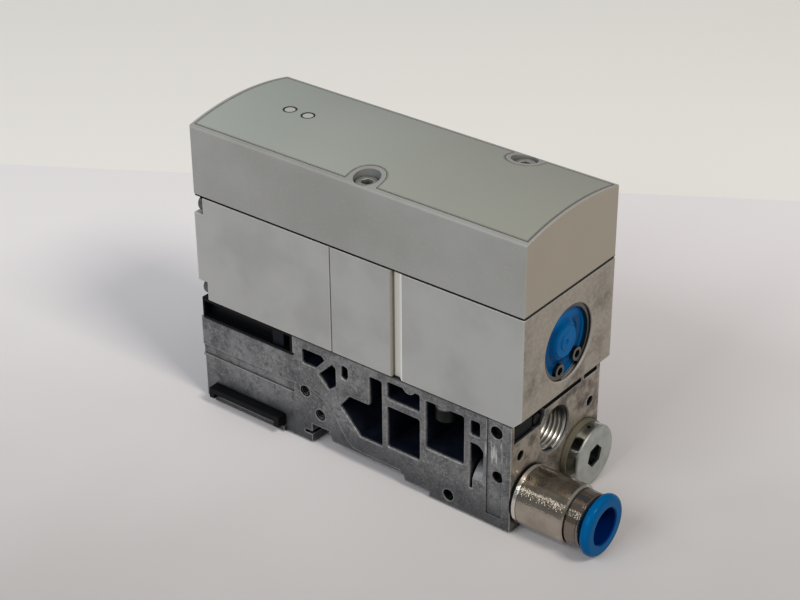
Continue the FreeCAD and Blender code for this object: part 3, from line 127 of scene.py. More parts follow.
# %% A bench for wiring nodes
class Bench:
    """One material, with short names for the nodes that work on plain numbers and colours."""

    def __init__(self, name, metallic, roughness):
        self.name = name
        self.material = bpy.data.materials.new(name)
        self.material.use_nodes = True
        self.tree = self.material.node_tree
        self.shader = self.tree.nodes["Principled BSDF"]
        self.setting("Metallic", metallic)
        self.setting("Roughness", roughness)

    def node(self, kind, **settings):
        made = self.tree.nodes.new(kind)
        for key, value in settings.items():
            setattr(made, key, value)
        return made

    def feed(self, socket, value):
        """A link where the value comes from a node, a plain setting where it is a number."""
        if isinstance(value, bpy.types.NodeSocket):
            self.tree.links.new(value, socket)
        else:
            socket.default_value = value

    def setting(self, name, value):
        """Feed one of the shader's own inputs."""
        self.feed(self.shader.inputs[name], value)

    def maths(self, operation, first, second=0.0):
        made = self.node("ShaderNodeMath", operation=operation)
        self.feed(made.inputs[0], first)
        self.feed(made.inputs[1], second)
        return made.outputs[0]

    def plus(self, first, second):
        return self.maths("ADD", first, second)

    def minus(self, first, second):
        return self.maths("SUBTRACT", first, second)

    def times(self, first, second):
        """Of two masks, the part that both cover."""
        return self.maths("MULTIPLY", first, second)

    def larger(self, first, second):
        """Of two masks, the part that either covers."""
        return self.maths("MAXIMUM", first, second)

    def level(self, value, low, high, out_low=0.0, out_high=1.0):
        """Stretch the part of a signal between low and high over a new range, with soft ends."""
        ranged = self.node("ShaderNodeMapRange", interpolation_type="SMOOTHSTEP")
        names = ("Value", "From Min", "From Max", "To Min", "To Max")
        for name, setting in zip(names, (value, low, high, out_low, out_high)):
            self.feed(ranged.inputs[name], setting)
        return ranged.outputs[0]

    def mix(self, share, first, second):
        """The first colour where the share is 0, the second where it is 1."""
        mixed = self.node("ShaderNodeMix", data_type="RGBA")
        # a Mix node holds sockets for every kind of data, and these are the ones for colours
        for number, value in ((0, share), (6, first), (7, second)):
            self.feed(mixed.inputs[number], value)
        return mixed.outputs[2]


print("bench ready")

# %% [markdown]
# ## Masks
# A mask is a number from 0 to 1 for each shaded point, and it says how much of a shade goes there.
# It could be painted by hand, but a mask that is worked out follows any change of the solids.
# Object coordinates give the point's place, so stripes, holes and end faces are found by
# arithmetic. Ambient occlusion finds hollows, where shade is painted. The Bevel node finds edges,
# where highlights are painted and the label's dark outline lies.

# %% Masks that know where they are
class Masks(Bench):
    """Signals that follow the object: all of them read Object coordinates, in millimetres."""

    def __init__(self, name, metallic, roughness):
        super().__init__(name, metallic, roughness)
        place = self.node("ShaderNodeVectorMath", operation="SCALE")
        self.feed(place.inputs[0], self.node("ShaderNodeTexCoord").outputs["Object"])
        self.feed(place.inputs["Scale"], 1 / MM)
        self.place = place.outputs[0]
        self.split = self.node("ShaderNodeSeparateXYZ")
        self.feed(self.split.inputs[0], self.place)

    def axis(self, name):
        """One coordinate of the place."""
        return self.split.outputs[name]

    def from_line(self, along, first, second):
        """Distance from a line that runs along one axis through the other two coordinates."""
        total = 0.0
        for name, centre in zip("XYZ".replace(along, ""), (first, second)):
            off = self.minus(self.axis(name), centre)
            total = self.plus(self.times(off, off), total)
        return self.maths("POWER", total, 0.5)

    def between(self, value, low, high, soft=0.1):
        """1 where a signal lies between low and high, 0 elsewhere, soft at both limits."""
        return self.times(self.level(value, low - soft, low + soft),
                          self.level(value, high - soft, high + soft, 1.0, 0.0))

    def noise(self, size, detail=3.0, roughness=0.55, stretch=(1, 1, 1)):
        """Noise whose blotches are about size wide, and longer where stretch is small."""
        mapping = self.node("ShaderNodeMapping")
        self.feed(mapping.inputs["Vector"], self.place)
        self.feed(mapping.inputs["Scale"], stretch)
        noise = self.node("ShaderNodeTexNoise")
        self.feed(noise.inputs["Vector"], mapping.outputs[0])
        self.feed(noise.inputs["Scale"], 1 / size)
        self.feed(noise.inputs["Detail"], detail)
        self.feed(noise.inputs["Roughness"], roughness)
        return noise.outputs["Fac"]

    def hollow_shade(self, reach, low, high):
        """Painted shade: 1 deep inside hollows, 0 where nothing stands within reach of the surface."""
        hidden = self.node("ShaderNodeAmbientOcclusion", samples=6)
        self.feed(hidden.inputs["Distance"], reach * MM)
        return self.level(hidden.outputs["AO"], low, high, 1.0, 0.0)

    def round_edge(self, radius):
        """The normal of a surface whose sharp edges are rounded by radius."""
        bevel = self.node("ShaderNodeBevel", samples=4)
        self.feed(bevel.inputs["Radius"], radius * MM)
        return bevel.outputs[0]

    def edge_share(self, radius):
        """1 on the very edges of a solid, 0 on its flats: where the rounded normal leans away."""
        dot = self.node("ShaderNodeVectorMath", operation="DOT_PRODUCT")
        self.feed(dot.inputs[0], self.round_edge(radius))
        self.feed(dot.inputs[1], self.node("ShaderNodeNewGeometry").outputs["Normal"])
        return self.level(dot.outputs["Value"], 0.99, 0.80)


print("masks ready")

# %% [markdown]
# ## Coats of colour
# A painter lays a base and works over it, and so does a Finish: paint takes a mask, a shade and a
# share. The skin is a bump, which tilts the light and leaves the mesh alone. Real dents would cost
# thousands of faces, and at this distance a grain shows in the light only. The Bevel node feeds
# the bump, so that the sharp edges of the solids catch a line of light as real ones do.

# %% A finish, laid on in coats
finishes = {}


class Finish(Masks):
    """A base colour, then shades laid over it, then a skin."""

    def clouds(self, size, first, second, low=0.35, high=0.7, detail=3.0, roughness=0.55):
        """Two shades that drift into each other in blotches about size wide."""
        return self.mix(self.level(self.noise(size, detail, roughness), low, high), first, second)

    def base(self, colour):
        self.colour = colour

    def paint(self, mask, shade, share=1.0):
        """Lay a shade over the colour so far where the mask is 1."""
        if share < 1.0:
            mask = self.times(mask, share)
        self.colour = self.mix(mask, self.colour, shade)

    def skin(self, pattern, strength, depth, edge=None):
        """Raise the surface by a pattern, depth high, and round its edges for the light."""
        bump = self.node("ShaderNodeBump")
        self.feed(bump.inputs["Strength"], strength)
        self.feed(bump.inputs["Distance"], depth * MM)
        self.feed(bump.inputs["Height"], pattern)
        if edge is not None:
            self.feed(bump.inputs["Normal"], self.round_edge(edge))
        self.setting("Normal", bump.outputs[0])

    def done(self):
        self.setting("Base Color", self.colour)
        finishes[self.name] = self.material
        print("mixed", self.name, "from", len(self.tree.nodes), "nodes")


def plain_finish(name, first, second, metallic, roughness, edge=0.2, specular=0.5):
    """For pieces with nothing but an even surface: two shades and a fine grain."""
    made = Finish(name, metallic, roughness)
    made.setting("Specular IOR Level", specular)
    made.base(made.clouds(20, first, second, 0.3))
    made.skin(made.noise(0.4), 0.5, 0.01, edge)
    made.done()


print("coats ready")

# %% [markdown]
# ## Cover and label
# The cover is a fine-grained grey plastic with faint darker clouds from handling. The label is a
# smooth film of a slightly greener grey. Both are matt, so broad soft light shows their shape. A
# very fine bump breaks the light up, and a painted edge highlight gives the thin bright line that
# runs along the top of the long side. A grain could be modelled, but a bump costs no triangles.

# %% Cover plastic
# X and Y of the two long screws, which stand in wells of the cover
SCREW_PLACES = ((3.05, -16.35), (29.15, 16.35))
WELL_RADIUS = 3.65
# X and Z of a faint smudge on the long sides
SMUDGE = (-10, 73)

cover = Finish("cover_plastic", metallic=0.0, roughness=0.52)
cover.base(cover.clouds(22, seen(150, 150, 148), seen(142, 142, 139), 0.36, 0.70))
smudge = cover.level(cover.from_line("Y", *SMUDGE), 24, 4)
cover.paint(smudge, seen(134, 134, 131), 0.6)
specks = cover.level(cover.noise(0.6, detail=1.0), 0.60, 0.72)
cover.paint(specks, seen(162, 162, 160), 0.35)
end_face = cover.level(cover.axis("X"), block_end - 0.2, block_end - 0.05)
# painted warm light: the end face of the cover is painted pale and warm, as the lamp at the port end
# lights it
cover.paint(end_face, seen(158, 149, 133), 0.8)
# painted highlight: the edges of the cover are painted pale where they catch the light
cover.paint(cover.edge_share(0.45), seen(196, 195, 190), 0.75)
seam = cover.times(end_face, cover.level(cover.axis("Z"), cover_foot + 0.35, cover_foot + 0.25))
cover.paint(seam, seen(24, 20, 18))
# painted shade in the hollows of the cover
cover.paint(cover.hollow_shade(1.6, 0.20, 0.50), seen(60, 57, 52))
# the walls of the two screw wells are in shade
for screw_x, screw_y in SCREW_PLACES:
    from_screw = cover.from_line("Z", screw_x, screw_y)
    well = cover.level(from_screw, WELL_RADIUS + 0.15, WELL_RADIUS + 0.05)
    cover.paint(well, seen(104, 109, 108), 0.75)
cover.skin(cover.noise(0.45, detail=2.0), 0.35, 0.02, edge=0.3)
cover.done()

# %% Label film
light_left, light_right = span("status_lights", "X")
light_radius = span("status_lights", "Y")[1]

label = Finish("label_film", metallic=0.0, roughness=0.45)
label.base(label.clouds(50, seen(160, 166, 161), seen(154, 160, 155), detail=1.0))
# painted shade: the film is painted darker and warmer towards the port end
shade_to_port_end = label.level(label.axis("X"), -55, 55)
label.paint(shade_to_port_end, seen(143, 144, 135), 0.9)
cut_edge = label.level(label.edge_share(1.0), 0.03, 0.24)
label.paint(cut_edge, seen(40, 31, 29))
# a thin black ring shows round each status light
for light_x in (light_left + light_radius, light_right - light_radius):
    ring = label.level(label.from_line("Z", light_x, 0), light_radius + 0.14, light_radius + 0.08)
    label.paint(ring, seen(8, 8, 9))
label.skin(label.noise(0.7, detail=2.0), 0.25, 0.01)
label.done()

# %% [markdown]
# ## Valve blocks
# The three blocks are cast and milled, then blasted to an even satin grey. Only the face at the
# port end, round the blue plug, is bare and stained: brown-grey clouds, darker at the low corner.
# The end face could have a material of its own, but then its faces must be picked out by hand. A
# mask along X keeps the stains there with no new faces. The milled step beside the middle block has
# a floor painted pale against its shade and painted highlights on its bevel, and the edges carry
# painted highlights too.

# %% Block metal and its bare end face
blocks = Finish("body_aluminium", metallic=0.0, roughness=0.50)
x = blocks.axis("X")
blocks.base(blocks.clouds(20, seen(163, 163, 161), seen(151, 151, 149)))
stain = blocks.level(blocks.noise(12, 4.0, 0.62), 0.44, 0.72)
# the stains grow fainter with height
stain = blocks.times(stain, blocks.level(blocks.axis("Z"), 60, 48, 0.35, 1.0))
# the end face has real stains, and its warm pale tint is painted warm light
stained_and_warm_lit = blocks.mix(stain, seen(158, 151, 140), seen(98, 89, 78))
fine = blocks.level(blocks.noise(1.0), 0.35, 0.75, 0.0, 0.35)
stained_and_warm_lit = blocks.mix(fine, stained_and_warm_lit, seen(190, 184, 172))
bare_end = blocks.level(x, block_end - 0.2, block_end - 0.05)
blocks.paint(bare_end, stained_and_warm_lit)
blocks.setting("Metallic", blocks.times(bare_end, 0.45))
print("end face of the blocks from", round(block_end - 0.2, 2))

# %% Step, seams and painted edge highlights of the blocks
# how far each part of the milled step reaches past the middle block
STEP_FLOOR = 1.75
STEP_BEVEL = 3.15
STEP_CREST = 3.45

step_floor = blocks.between(x, plate_right, plate_right + STEP_FLOOR)
step_bevel = blocks.between(x, plate_right + STEP_FLOOR + 0.05, plate_right + STEP_BEVEL)
step_crest = blocks.between(x, plate_right + STEP_BEVEL + 0.05, plate_right + STEP_CREST, 0.05)
left_seam = blocks.between(x, plate_left - 0.15, plate_left + 0.15, 0.05)
right_seam = blocks.between(x, plate_right - 0.45, plate_right + 0.25, 0.05)
# painted light: the step's floor is painted pale against its shade, and its bevel and crest carry
# painted highlights
blocks.paint(step_floor, seen(198, 194, 187))
blocks.paint(step_bevel, seen(222, 219, 213))
blocks.paint(step_crest, seen(250, 249, 246))
blocks.paint(left_seam, seen(46, 42, 38), 0.9)
blocks.paint(right_seam, seen(128, 122, 112))
# painted highlight: the edges of the blocks are painted pale where they catch the light
blocks.paint(blocks.edge_share(0.45), seen(216, 214, 208), 0.8)

# painted shade on the wall of the plug's bore, a little behind the end face
plug_y, plug_z = middle("closing_plug", "Y"), middle("closing_plug", "Z")
plug_radius = span("closing_plug", "Z")[1] - plug_z
from_plug = blocks.from_line("X", plug_y, plug_z)
bore_wall = blocks.level(from_plug, plug_radius + 0.15, plug_radius + 0.20, 1.0, 0.0)
bore_wall = blocks.times(bore_wall, blocks.between(x, 30, block_end - 0.55))
blocks.paint(bore_wall, seen(64, 59, 54))

# painted shade in the hollows everywhere but on the step
step_unshaded = blocks.between(x, plate_right - 0.75, plate_right + STEP_CREST)
hidden = blocks.minus(blocks.hollow_shade(2.5, 0.15, 0.5), step_unshaded)
blocks.paint(blocks.level(hidden, 0.0, 1.0), seen(40, 38, 36))
blocks.skin(blocks.noise(0.5, detail=2.0), 0.3, 0.02, edge=0.3)
blocks.done()

# %% [markdown]
# ## Cast sub-base
# The sub-base is die-cast and tumbled, so it is a mottled mid grey that sparkles, with dark patches
# and a rough skin. Pale rims round every opening are a painted highlight. Noise at three sizes makes
# the mottling, and the edge mask makes the rims, so no opening has to be traced. The channels have
# to read as deep, so what lies well behind the long side faces gets painted shade, nearly black.

# %% Mottled casting
cast = Finish("cast_aluminium", metallic=0.55, roughness=0.45)
x = cast.axis("X")
z = cast.axis("Z")
behind = cast.minus(base_side, cast.maths("ABSOLUTE", cast.axis("Y")))

cast.base(cast.clouds(11, seen(128, 128, 130), seen(96, 97, 99), 0.36, 0.66, 4.0, 0.62))
patches = cast.level(cast.noise(2.4, 6.0, 0.8), 0.47, 0.66)
cast.paint(patches, seen(60, 62, 65), 0.75)
sparkle = cast.level(cast.noise(0.7, 5.0, 0.8), 0.50, 0.68)
cast.paint(sparkle, seen(172, 172, 172), 0.65)
# painted shade: darker towards the foot, and more so under the channels
cast.paint(cast.level(z, 9, -1), seen(52, 54, 58), 0.65)
belt = cast.times(cast.between(x, -32, 22, 6), cast.level(z, 12, 3))
cast.paint(belt, seen(58, 61, 66), 0.42)
# the port end is stained, and its warm tint is painted warm light, like the end face of the blocks
# above it
warm_light_and_stain = cast.clouds(6, seen(168, 158, 144), seen(100, 92, 82), 0.4, 0.65, 4.0, 0.65)
cast.paint(cast.level(x, base_end - 0.15, base_end - 0.03), warm_light_and_stain, 0.85)
print("casting mottled")

# %% Scraped patch and painted edge highlights
# where the post at the port end stands along X, and X and Z of the bright scrape on it
POST = (44.5, 52.2)
SCRAPE = (48.4, 20.0)
strokes = cast.level(cast.noise(0.8, 3.0, 0.6, stretch=(1, 1, 0.12)), 0.52, 0.64)
scraped = cast.times(strokes, cast.level(cast.from_line("Y", *SCRAPE), 5, 3))
scraped = cast.times(scraped, cast.level(behind, 0.7, 0.3))
cast.paint(scraped, seen(216, 216, 214), 0.70)
# the painted edge highlight is weaker on the edges of the post than on the others
post = cast.times(cast.between(x, *POST), cast.level(z, 24, 23))
edge_highlight = cast.times(cast.edge_share(0.6), cast.level(post, 0.0, 1.0, 0.7, 0.25))
cast.paint(edge_highlight, seen(196, 196, 193))
# painted shade in the hollows, and nearly black deep in the channels
cast.paint(cast.hollow_shade(1.1, 0.50, 0.985), seen(34, 34, 36))
cast.paint(cast.hollow_shade(7, 0.12, 0.50), seen(16, 17, 20))
print("casting worn")

# %% Channels in painted shade
# along X: all the openings up to the widest one, then the vent, and the duct below the vent
OPENINGS = (-18.5, 39.2)
VENT = (39.4, 43.0)
DUCT = (39.4, 43.7)
# what stays pale in them: the lobe of a pin hole (X and Z) and the boss of a screw (X and Y)
PIN_LOBE = (19.35, 29.1)
SCREW_BOSS = (29.15, -16.35)

deep = cast.level(behind, 0.6, 1.1)
vent = cast.times(cast.between(x, *VENT), cast.level(z, 21.5, 22.0))
openings = cast.larger(cast.between(x, *OPENINGS), vent)
channels = cast.times(cast.times(deep, openings), cast.level(z, 4.5, 5.0))
duct = cast.times(cast.between(x, *DUCT), cast.level(z, 9, 16))
channels = cast.larger(channels, cast.times(duct, deep))
lobe = cast.level(cast.from_line("Y", *PIN_LOBE), 2.6, 2.4)
from_boss = cast.from_line("Z", *SCREW_BOSS)
boss = cast.times(cast.level(from_boss, 4.2, 3.9), cast.level(z, 25.1, 25.8))
channels = cast.minus(channels, cast.larger(lobe, boss))
# painted shade: the channels are painted nearly black, all but the pin lobe and the screw boss
cast.paint(cast.level(channels, 0.0, 1.0), seen(22, 30, 46))
print("channels darkened")

# %% Holes, the open port and the joint under the gasket
# X and Z of each hole in the long side faces, with its radius
TIE_HOLES = {(-17.55, 13.0): 1.75, (-12.2, 7.1): 1.75, (32.65, 0.1): 1.75, (48.35, 12.6): 1.75,
             (47.75, 26.3): 1.9}
# the small holes in the port end, on both sides of the open port
END_HOLE_SIDES = (-16.2, 16.2)
END_HOLE_HEIGHT = 19.1
END_HOLE_RADIUS = 1.5
PORT_MOUTH_RADIUS = 7.0
JOINT_HEIGHT = 30.0

holes = 0.0
for place, radius in TIE_HOLES.items():
    hole = cast.level(cast.from_line("Y", *place), radius + 0.3, radius + 0.2)
    holes = cast.larger(holes, hole)
holes = cast.times(holes, cast.level(behind, 0.5, 0.9))
for hole_y in END_HOLE_SIDES:
    from_hole = cast.from_line("X", hole_y, END_HOLE_HEIGHT)
    hole = cast.level(from_hole, END_HOLE_RADIUS + 0.1, END_HOLE_RADIUS)
    holes = cast.larger(holes, cast.times(hole, cast.between(x, 40, 52.1, 0.2)))
# painted shade inside the holes
cast.paint(holes, seen(13, 13, 14))
from_port = cast.from_line("X", port_y, port_z)
# painted shade on the wall of the open port
port_wall = cast.level(from_port, PORT_MOUTH_RADIUS + 0.1, PORT_MOUTH_RADIUS)
cast.paint(cast.times(port_wall, cast.between(x, 36, 51.7, 0.2)), seen(40, 38, 35))
# below the boss of the screw the channel is in full shade
under_boss = cast.times(cast.level(from_boss, 4.4, 4.2), cast.between(z, 20, 25.4, 0.4))
cast.paint(under_boss, seen(5, 6, 8))
joint_line = cast.between(z, JOINT_HEIGHT - 0.3, JOINT_HEIGHT + 0.3, 0.05)
joint_line = cast.times(joint_line, cast.level(behind, 0.9, 0.5))
cast.paint(joint_line, seen(30, 31, 32), 0.75)
print("holes darkened:", len(TIE_HOLES) * 2 + len(END_HOLE_SIDES), "and the open port")

# %% Rough cast skin
pits = cast.plus(cast.noise(0.9, 4.0, 0.65), cast.noise(4, detail=2.0))
cast.skin(pits, 0.6, 0.12, edge=0.3)
cast.setting("Roughness", cast.level(cast.noise(3), 0.3, 0.7, 0.34, 0.6))
cast.done()

# %% [markdown]
# ## Plastics and rubber
# The blue of the release ring and of the closing plug is deep, because little of the room
# reflects in it: a low specular level does that. Both pieces share one finish, and places along X
# tell them apart. The other plastics, the seals and the board are even, so the plain finish of two
# shades and a grain will do.

# %% Blue plastic
RING_FLANGE_START = 70
TUBE_BORE_RADIUS = 5.2

blue = Finish("blue_plastic", metallic=0.0, roughness=0.08)
blue.setting("Specular IOR Level", 0.04)
blue.base(blue.clouds(4, seen(0, 97, 160), seen(0, 88, 148), 0.3))
# the flange of the release ring is a little darker than the plug
flange = blue.level(blue.axis("X"), RING_FLANGE_START, RING_FLANGE_START + 0.2)
blue.paint(flange, seen(0, 84, 138))
# painted shade: the bore of the release ring is darker still
from_tube = blue.from_line("X", fitting_y, fitting_z)
tube_bore = blue.level(from_tube, TUBE_BORE_RADIUS + 0.4, TUBE_BORE_RADIUS)
blue.paint(tube_bore, seen(0, 32, 92))
# the ring groove of the plug is in shade, but for its top
groove = blue.between(blue.from_line("X", plug_y, plug_z), 4.8, 8.8, 0.6)
low_part = blue.level(blue.axis("Z"), plug_z + 6.9, plug_z + 3.9)
blue.paint(blue.times(groove, low_part), seen(0, 66, 118))
blue.skin(blue.noise(1.2), 0.2, 0.02, edge=0.15)
blue.done()

# %% Black and slate plastics, lights, seals and boards
# each has a name, two shades, how metallic it is and how rough
plain_finish("light_pipe", seen(170, 174, 168), seen(182, 185, 178), 0.0, 0.25, edge=0.1)
plain_finish("black_plastic", seen(6, 7, 9), seen(11, 12, 15), 0.0, 0.38, specular=0.1)
plain_finish("slate_plastic", seen(12, 16, 24), seen(18, 23, 32), 0.0, 0.45, specular=0.1)
plain_finish("seal_rubber", seen(6, 6, 6), seen(11, 10, 10), 0.0, 0.65, edge=0.1, specular=0.1)
plain_finish("olive_seal", seen(94, 90, 75), seen(112, 107, 90), 0.0, 0.55, edge=0.1)
plain_finish("circuit_green", seen(14, 70, 38), seen(20, 88, 48), 0.0, 0.4)

# %% [markdown]
# ## Nickel, zinc and steels
# The tube fitting is nickel plated over a turned body: it mirrors the floor and the ports, broken
# by a fine pebbled skin that turns the highlight into a band of sparks. The blanking plug has pale
# zinc over turning marks, fine rings about its own axis. Both could be modelled, but grooves of a
# few hundredths of a millimetre show only in the light, and a bump bends the light as they do. The
# two long screws are bright, and those in the corner notches and the pocket are blackened.

# %% Nickel plate
nickel = Finish("nickel", metallic=1.0, roughness=0.09)
x = nickel.axis("X")
z = nickel.axis("Z")
# painted reflections: the lower half is painted with the bright floor that it mirrors, and the upper
# half with the stained ports above it
lit = nickel.clouds(5, seen(177, 168, 157), seen(157, 147, 135))
shaded = nickel.clouds(3, seen(132, 124, 112), seen(108, 100, 88))
nickel.base(nickel.mix(nickel.level(z, 7, 11.5), lit, shaded))
# the turned collar is polished brighter, and the upper half of the front bevel gets a painted highlight
collar = nickel.between(x, base_end + 0.45, base_end + 2.05)
front_bevel_highlight = nickel.times(nickel.between(x, fitting_end - 0.5, fitting_end + 0.1),
                           nickel.level(z, 9, 12.5, 0.0, 0.45))
nickel.paint(nickel.plus(collar, front_bevel_highlight), seen(232, 229, 222), 0.7)
# the cartridge in front is smoother and browner than the turned body
cartridge = nickel.level(x, fitting_end, fitting_end + 0.4)
nickel.paint(cartridge, seen(112, 102, 94), 0.75)
nickel.setting("Metallic", nickel.level(z, 9, 12.5, 1.0, 0.80))
pebbles = nickel.noise(0.45, 1.0, 0.4)
nickel.skin(pebbles, nickel.level(cartridge, 0.0, 1.0, 0.5, 0.38), 0.07, edge=0.15)
nickel.done()

# %% Zinc plate, with rings about the blanking plug's own axis
zinc = Finish("zinc_steel", metallic=1.0, roughness=0.36)
face_end = span("blanking_plug", "X")[1]
face = zinc.level(zinc.axis("X"), face_end - 0.9, face_end - 0.4)
zinc.base(seen(150, 156, 154))
zinc.paint(face, zinc.clouds(3, seen(186, 190, 185), seen(166, 171, 167)))
# painted shade in the hex socket and the hollows of the plug
hidden = zinc.hollow_shade(3, 0.2, 0.8)
zinc.paint(hidden, seen(72, 77, 75))
zinc.setting("Metallic", zinc.level(hidden, 0.0, 1.0, 1.0, 0.1))
zinc.setting("Roughness", zinc.level(face, 0.0, 1.0, 0.14, 0.38))

centred = zinc.node("ShaderNodeMapping")
zinc.feed(centred.inputs["Vector"], zinc.place)
zinc.feed(centred.inputs["Location"], (0, -middle("blanking_plug", "Y"), -middle("blanking_plug", "Z")))
rings = zinc.node("ShaderNodeTexWave", wave_type="RINGS", rings_direction="X")
zinc.feed(rings.inputs["Vector"], centred.outputs[0])
zinc.feed(rings.inputs["Scale"], 0.9)
zinc.feed(rings.inputs["Distortion"], 1.5)
zinc.feed(rings.inputs["Detail"], 2)
zinc.skin(rings.outputs["Fac"], 0.12, 0.03, edge=0.2)
zinc.done()

# %% Screws, bright and blackened
bright = Finish("screw_steel", metallic=0.8, roughness=0.36)
bright.base(bright.clouds(2, seen(206, 206, 200), seen(180, 180, 174), 0.3))
# painted shade in the recesses of the screw heads
bright.paint(bright.hollow_shade(2.2, 0.28, 0.96), seen(6, 9, 9))
bright.skin(bright.noise(0.4), 0.5, 0.01, edge=0.2)
bright.done()

dark = Finish("dark_steel", metallic=0.9, roughness=0.35)
dark.base(dark.clouds(20, seen(104, 105, 102), seen(84, 85, 83), 0.3))
# past X 30 all is painted black: the screw beside the insert, at the port end, is black all over, and
# the threads in the tie holes there get painted shade
dark.paint(dark.level(dark.axis("X"), 30, 30.2), seen(12, 12, 13))
# painted shade in the recesses of the screw heads
dark.paint(dark.hollow_shade(2.2, 0.25, 0.90), seen(12, 12, 12))
dark.skin(dark.noise(0.4), 0.5, 0.01, edge=0.2)
dark.done()

# %% Thread crests, springs and the metals inside
# painted shade and light: the thread crests are painted dark above, in the shade of the bore, and
# bright below, where they catch the light
crests = Finish("thread_metal", metallic=0.9, roughness=0.30)
lower_half = crests.level(crests.axis("Z"), port_z + 2.5, port_z - 4)
crests.base(crests.mix(lower_half, seen(58, 57, 55), seen(206, 204, 198)))
crests.skin(crests.noise(0.5), 0.5, 0.02)
crests.done()
plain_finish("spring_steel", seen(108, 102, 94), seen(86, 82, 76), 1.0, 0.25, edge=0.1)
plain_finish("ground_steel", seen(190, 190, 188), seen(170, 170, 168), 1.0, 0.3)
plain_finish("brass_contact", seen(200, 170, 104), seen(184, 150, 86), 1.0, 0.3)
plain_finish("copper_wire", seen(176, 96, 58), seen(150, 78, 46), 0.8, 0.35)
print("finishes:", len(finishes))

# %% [markdown]
# ## Every solid gets its finish
# The record says which material slot each solid belongs to. Finishes could be handed out one by one,
# but the slot's name is the finish's name, so one loop dresses the whole object and no solid is
# forgotten.

# %% Dress the solids
for row in frame["record"]["subparts"]:
    mesh = nodes[row["node"]].data
    mesh.materials.clear()
    mesh.materials.append(finishes[row["material_slot"]])

# %% [markdown]
# ## Helpers for pieces made by node trees
# What repeats on the real object, such as a thread's turns, is made by Geometry Nodes. A tree is
# built in the script with named inputs. The finished shape is turned into a plain mesh, the
# modifier goes, and the mesh rides on its CAD body.

# %% Node tree helpers
def new_tree(name, inputs):
    """A geometry tree with a Geometry output and one input for each named number."""
    tree = bpy.data.node_groups.new(name, "GeometryNodeTree")
    tree.interface.new_socket("Geometry", in_out="OUTPUT", socket_type="NodeSocketGeometry")
    for label, value in inputs.items():
        socket = tree.interface.new_socket(label, in_out="INPUT", socket_type="NodeSocketFloat")
        socket.default_value = value
    return tree, tree.nodes.new("NodeGroupInput").outputs, tree.nodes.new("NodeGroupOutput").inputs


def tree_node(tree, kind, inputs, **settings):
    """Add a node, set its options, and feed its inputs by name or number."""
    made = tree.nodes.new(kind)
    for key, value in settings.items():
        setattr(made, key, value)
    for key, value in inputs.items():
        if isinstance(value, bpy.types.NodeSocket):
            tree.links.new(value, made.inputs[key])
        else:
            made.inputs[key].default_value = value
    return made


def finish_tree(tree, geometry, output, material):
    """Realize the instances and set the material."""
    real = tree_node(tree, "GeometryNodeRealizeInstances", {0: geometry})
    coated = tree_node(tree, "GeometryNodeSetMaterial", {0: real.outputs[0], "Material": material})
    tree.links.new(coated.outputs[0], output["Geometry"])


def grow(name, tree, values, place):
    """Run a tree with these values and return a plain mesh, moved to its place."""
    holder = bpy.data.objects.new(name + "_tree", bpy.data.meshes.new(name + "_seed"))
    bpy.context.scene.collection.objects.link(holder)
    modifier = holder.modifiers.new("nodes", "NODES")
    modifier.node_group = tree
    for item in tree.interface.items_tree:
        if item.in_out == "INPUT" and item.name in values:
            modifier[item.identifier] = values[item.name]
    bpy.context.view_layer.update()
    grown = holder.evaluated_get(bpy.context.evaluated_depsgraph_get())
    mesh = bpy.data.meshes.new_from_object(grown)
    mesh.transform(place)
    bpy.data.objects.remove(holder)
    return mesh


print("tree helpers ready")


# %% Join meshes into one piece
def piece(name, meshes, body="housing"):
    """Join meshes of one finish into an object at the origin that rides on a CAD body."""
    joined = bmesh.new()
    for mesh in meshes:
        joined.from_mesh(mesh)
    bmesh.ops.recalc_face_normals(joined, faces=joined.faces)
    data = bpy.data.meshes.new(name)
    joined.to_mesh(data)
    joined.free()
    data.materials.append(meshes[0].materials[0])
    made = bpy.data.objects.new(name, data)
    bpy.context.scene.collection.objects.link(made)
    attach(made, body)
    print(name, "triangles", sum(len(p.vertices) - 2 for p in data.polygons))
    return made


print("joining helper ready")

# %% [markdown]
# ## Threads
# The open port and the small tie holes show the crests of their threads. A thread is one ridge
# that winds inside a bore: a spiral curve swept with a small six-sided rod. It could be cut in the
# solid, but as a separate ridge it needs far fewer faces. The tree takes the bore's radius, the
# pitch, the number of turns and the radius of the ridge.

# %% Thread tree
thread_tree, given, result = new_tree("thread_ridge", {
    "Bore Radius": 6 * MM, "Pitch": 1 * MM, "Turns": 6.0, "Ridge": 0.6 * MM})
rise = tree_node(thread_tree, "ShaderNodeMath", {0: given["Pitch"], 1: given["Turns"]},
                 operation="MULTIPLY")
spiral = tree_node(thread_tree, "GeometryNodeCurveSpiral", {
    "Resolution": 48, "Rotations": given["Turns"], "Start Radius": given["Bore Radius"],
    "End Radius": given["Bore Radius"], "Height": rise.outputs[0]})
upright = tree_node(thread_tree, "GeometryNodeSetCurveNormal", {0: spiral.outputs[0]}, mode="Z_UP")
profile = tree_node(thread_tree, "GeometryNodeCurvePrimitiveCircle", {
    "Resolution": 6, "Radius": given["Ridge"]})
swept = tree_node(thread_tree, "GeometryNodeCurveToMesh", {
    "Curve": upright.outputs[0], "Profile Curve": profile.outputs[0], "Fill Caps": True})
finish_tree(thread_tree, swept.outputs[0], result, finishes["thread_metal"])
print("thread tree with", len(thread_tree.nodes), "nodes")

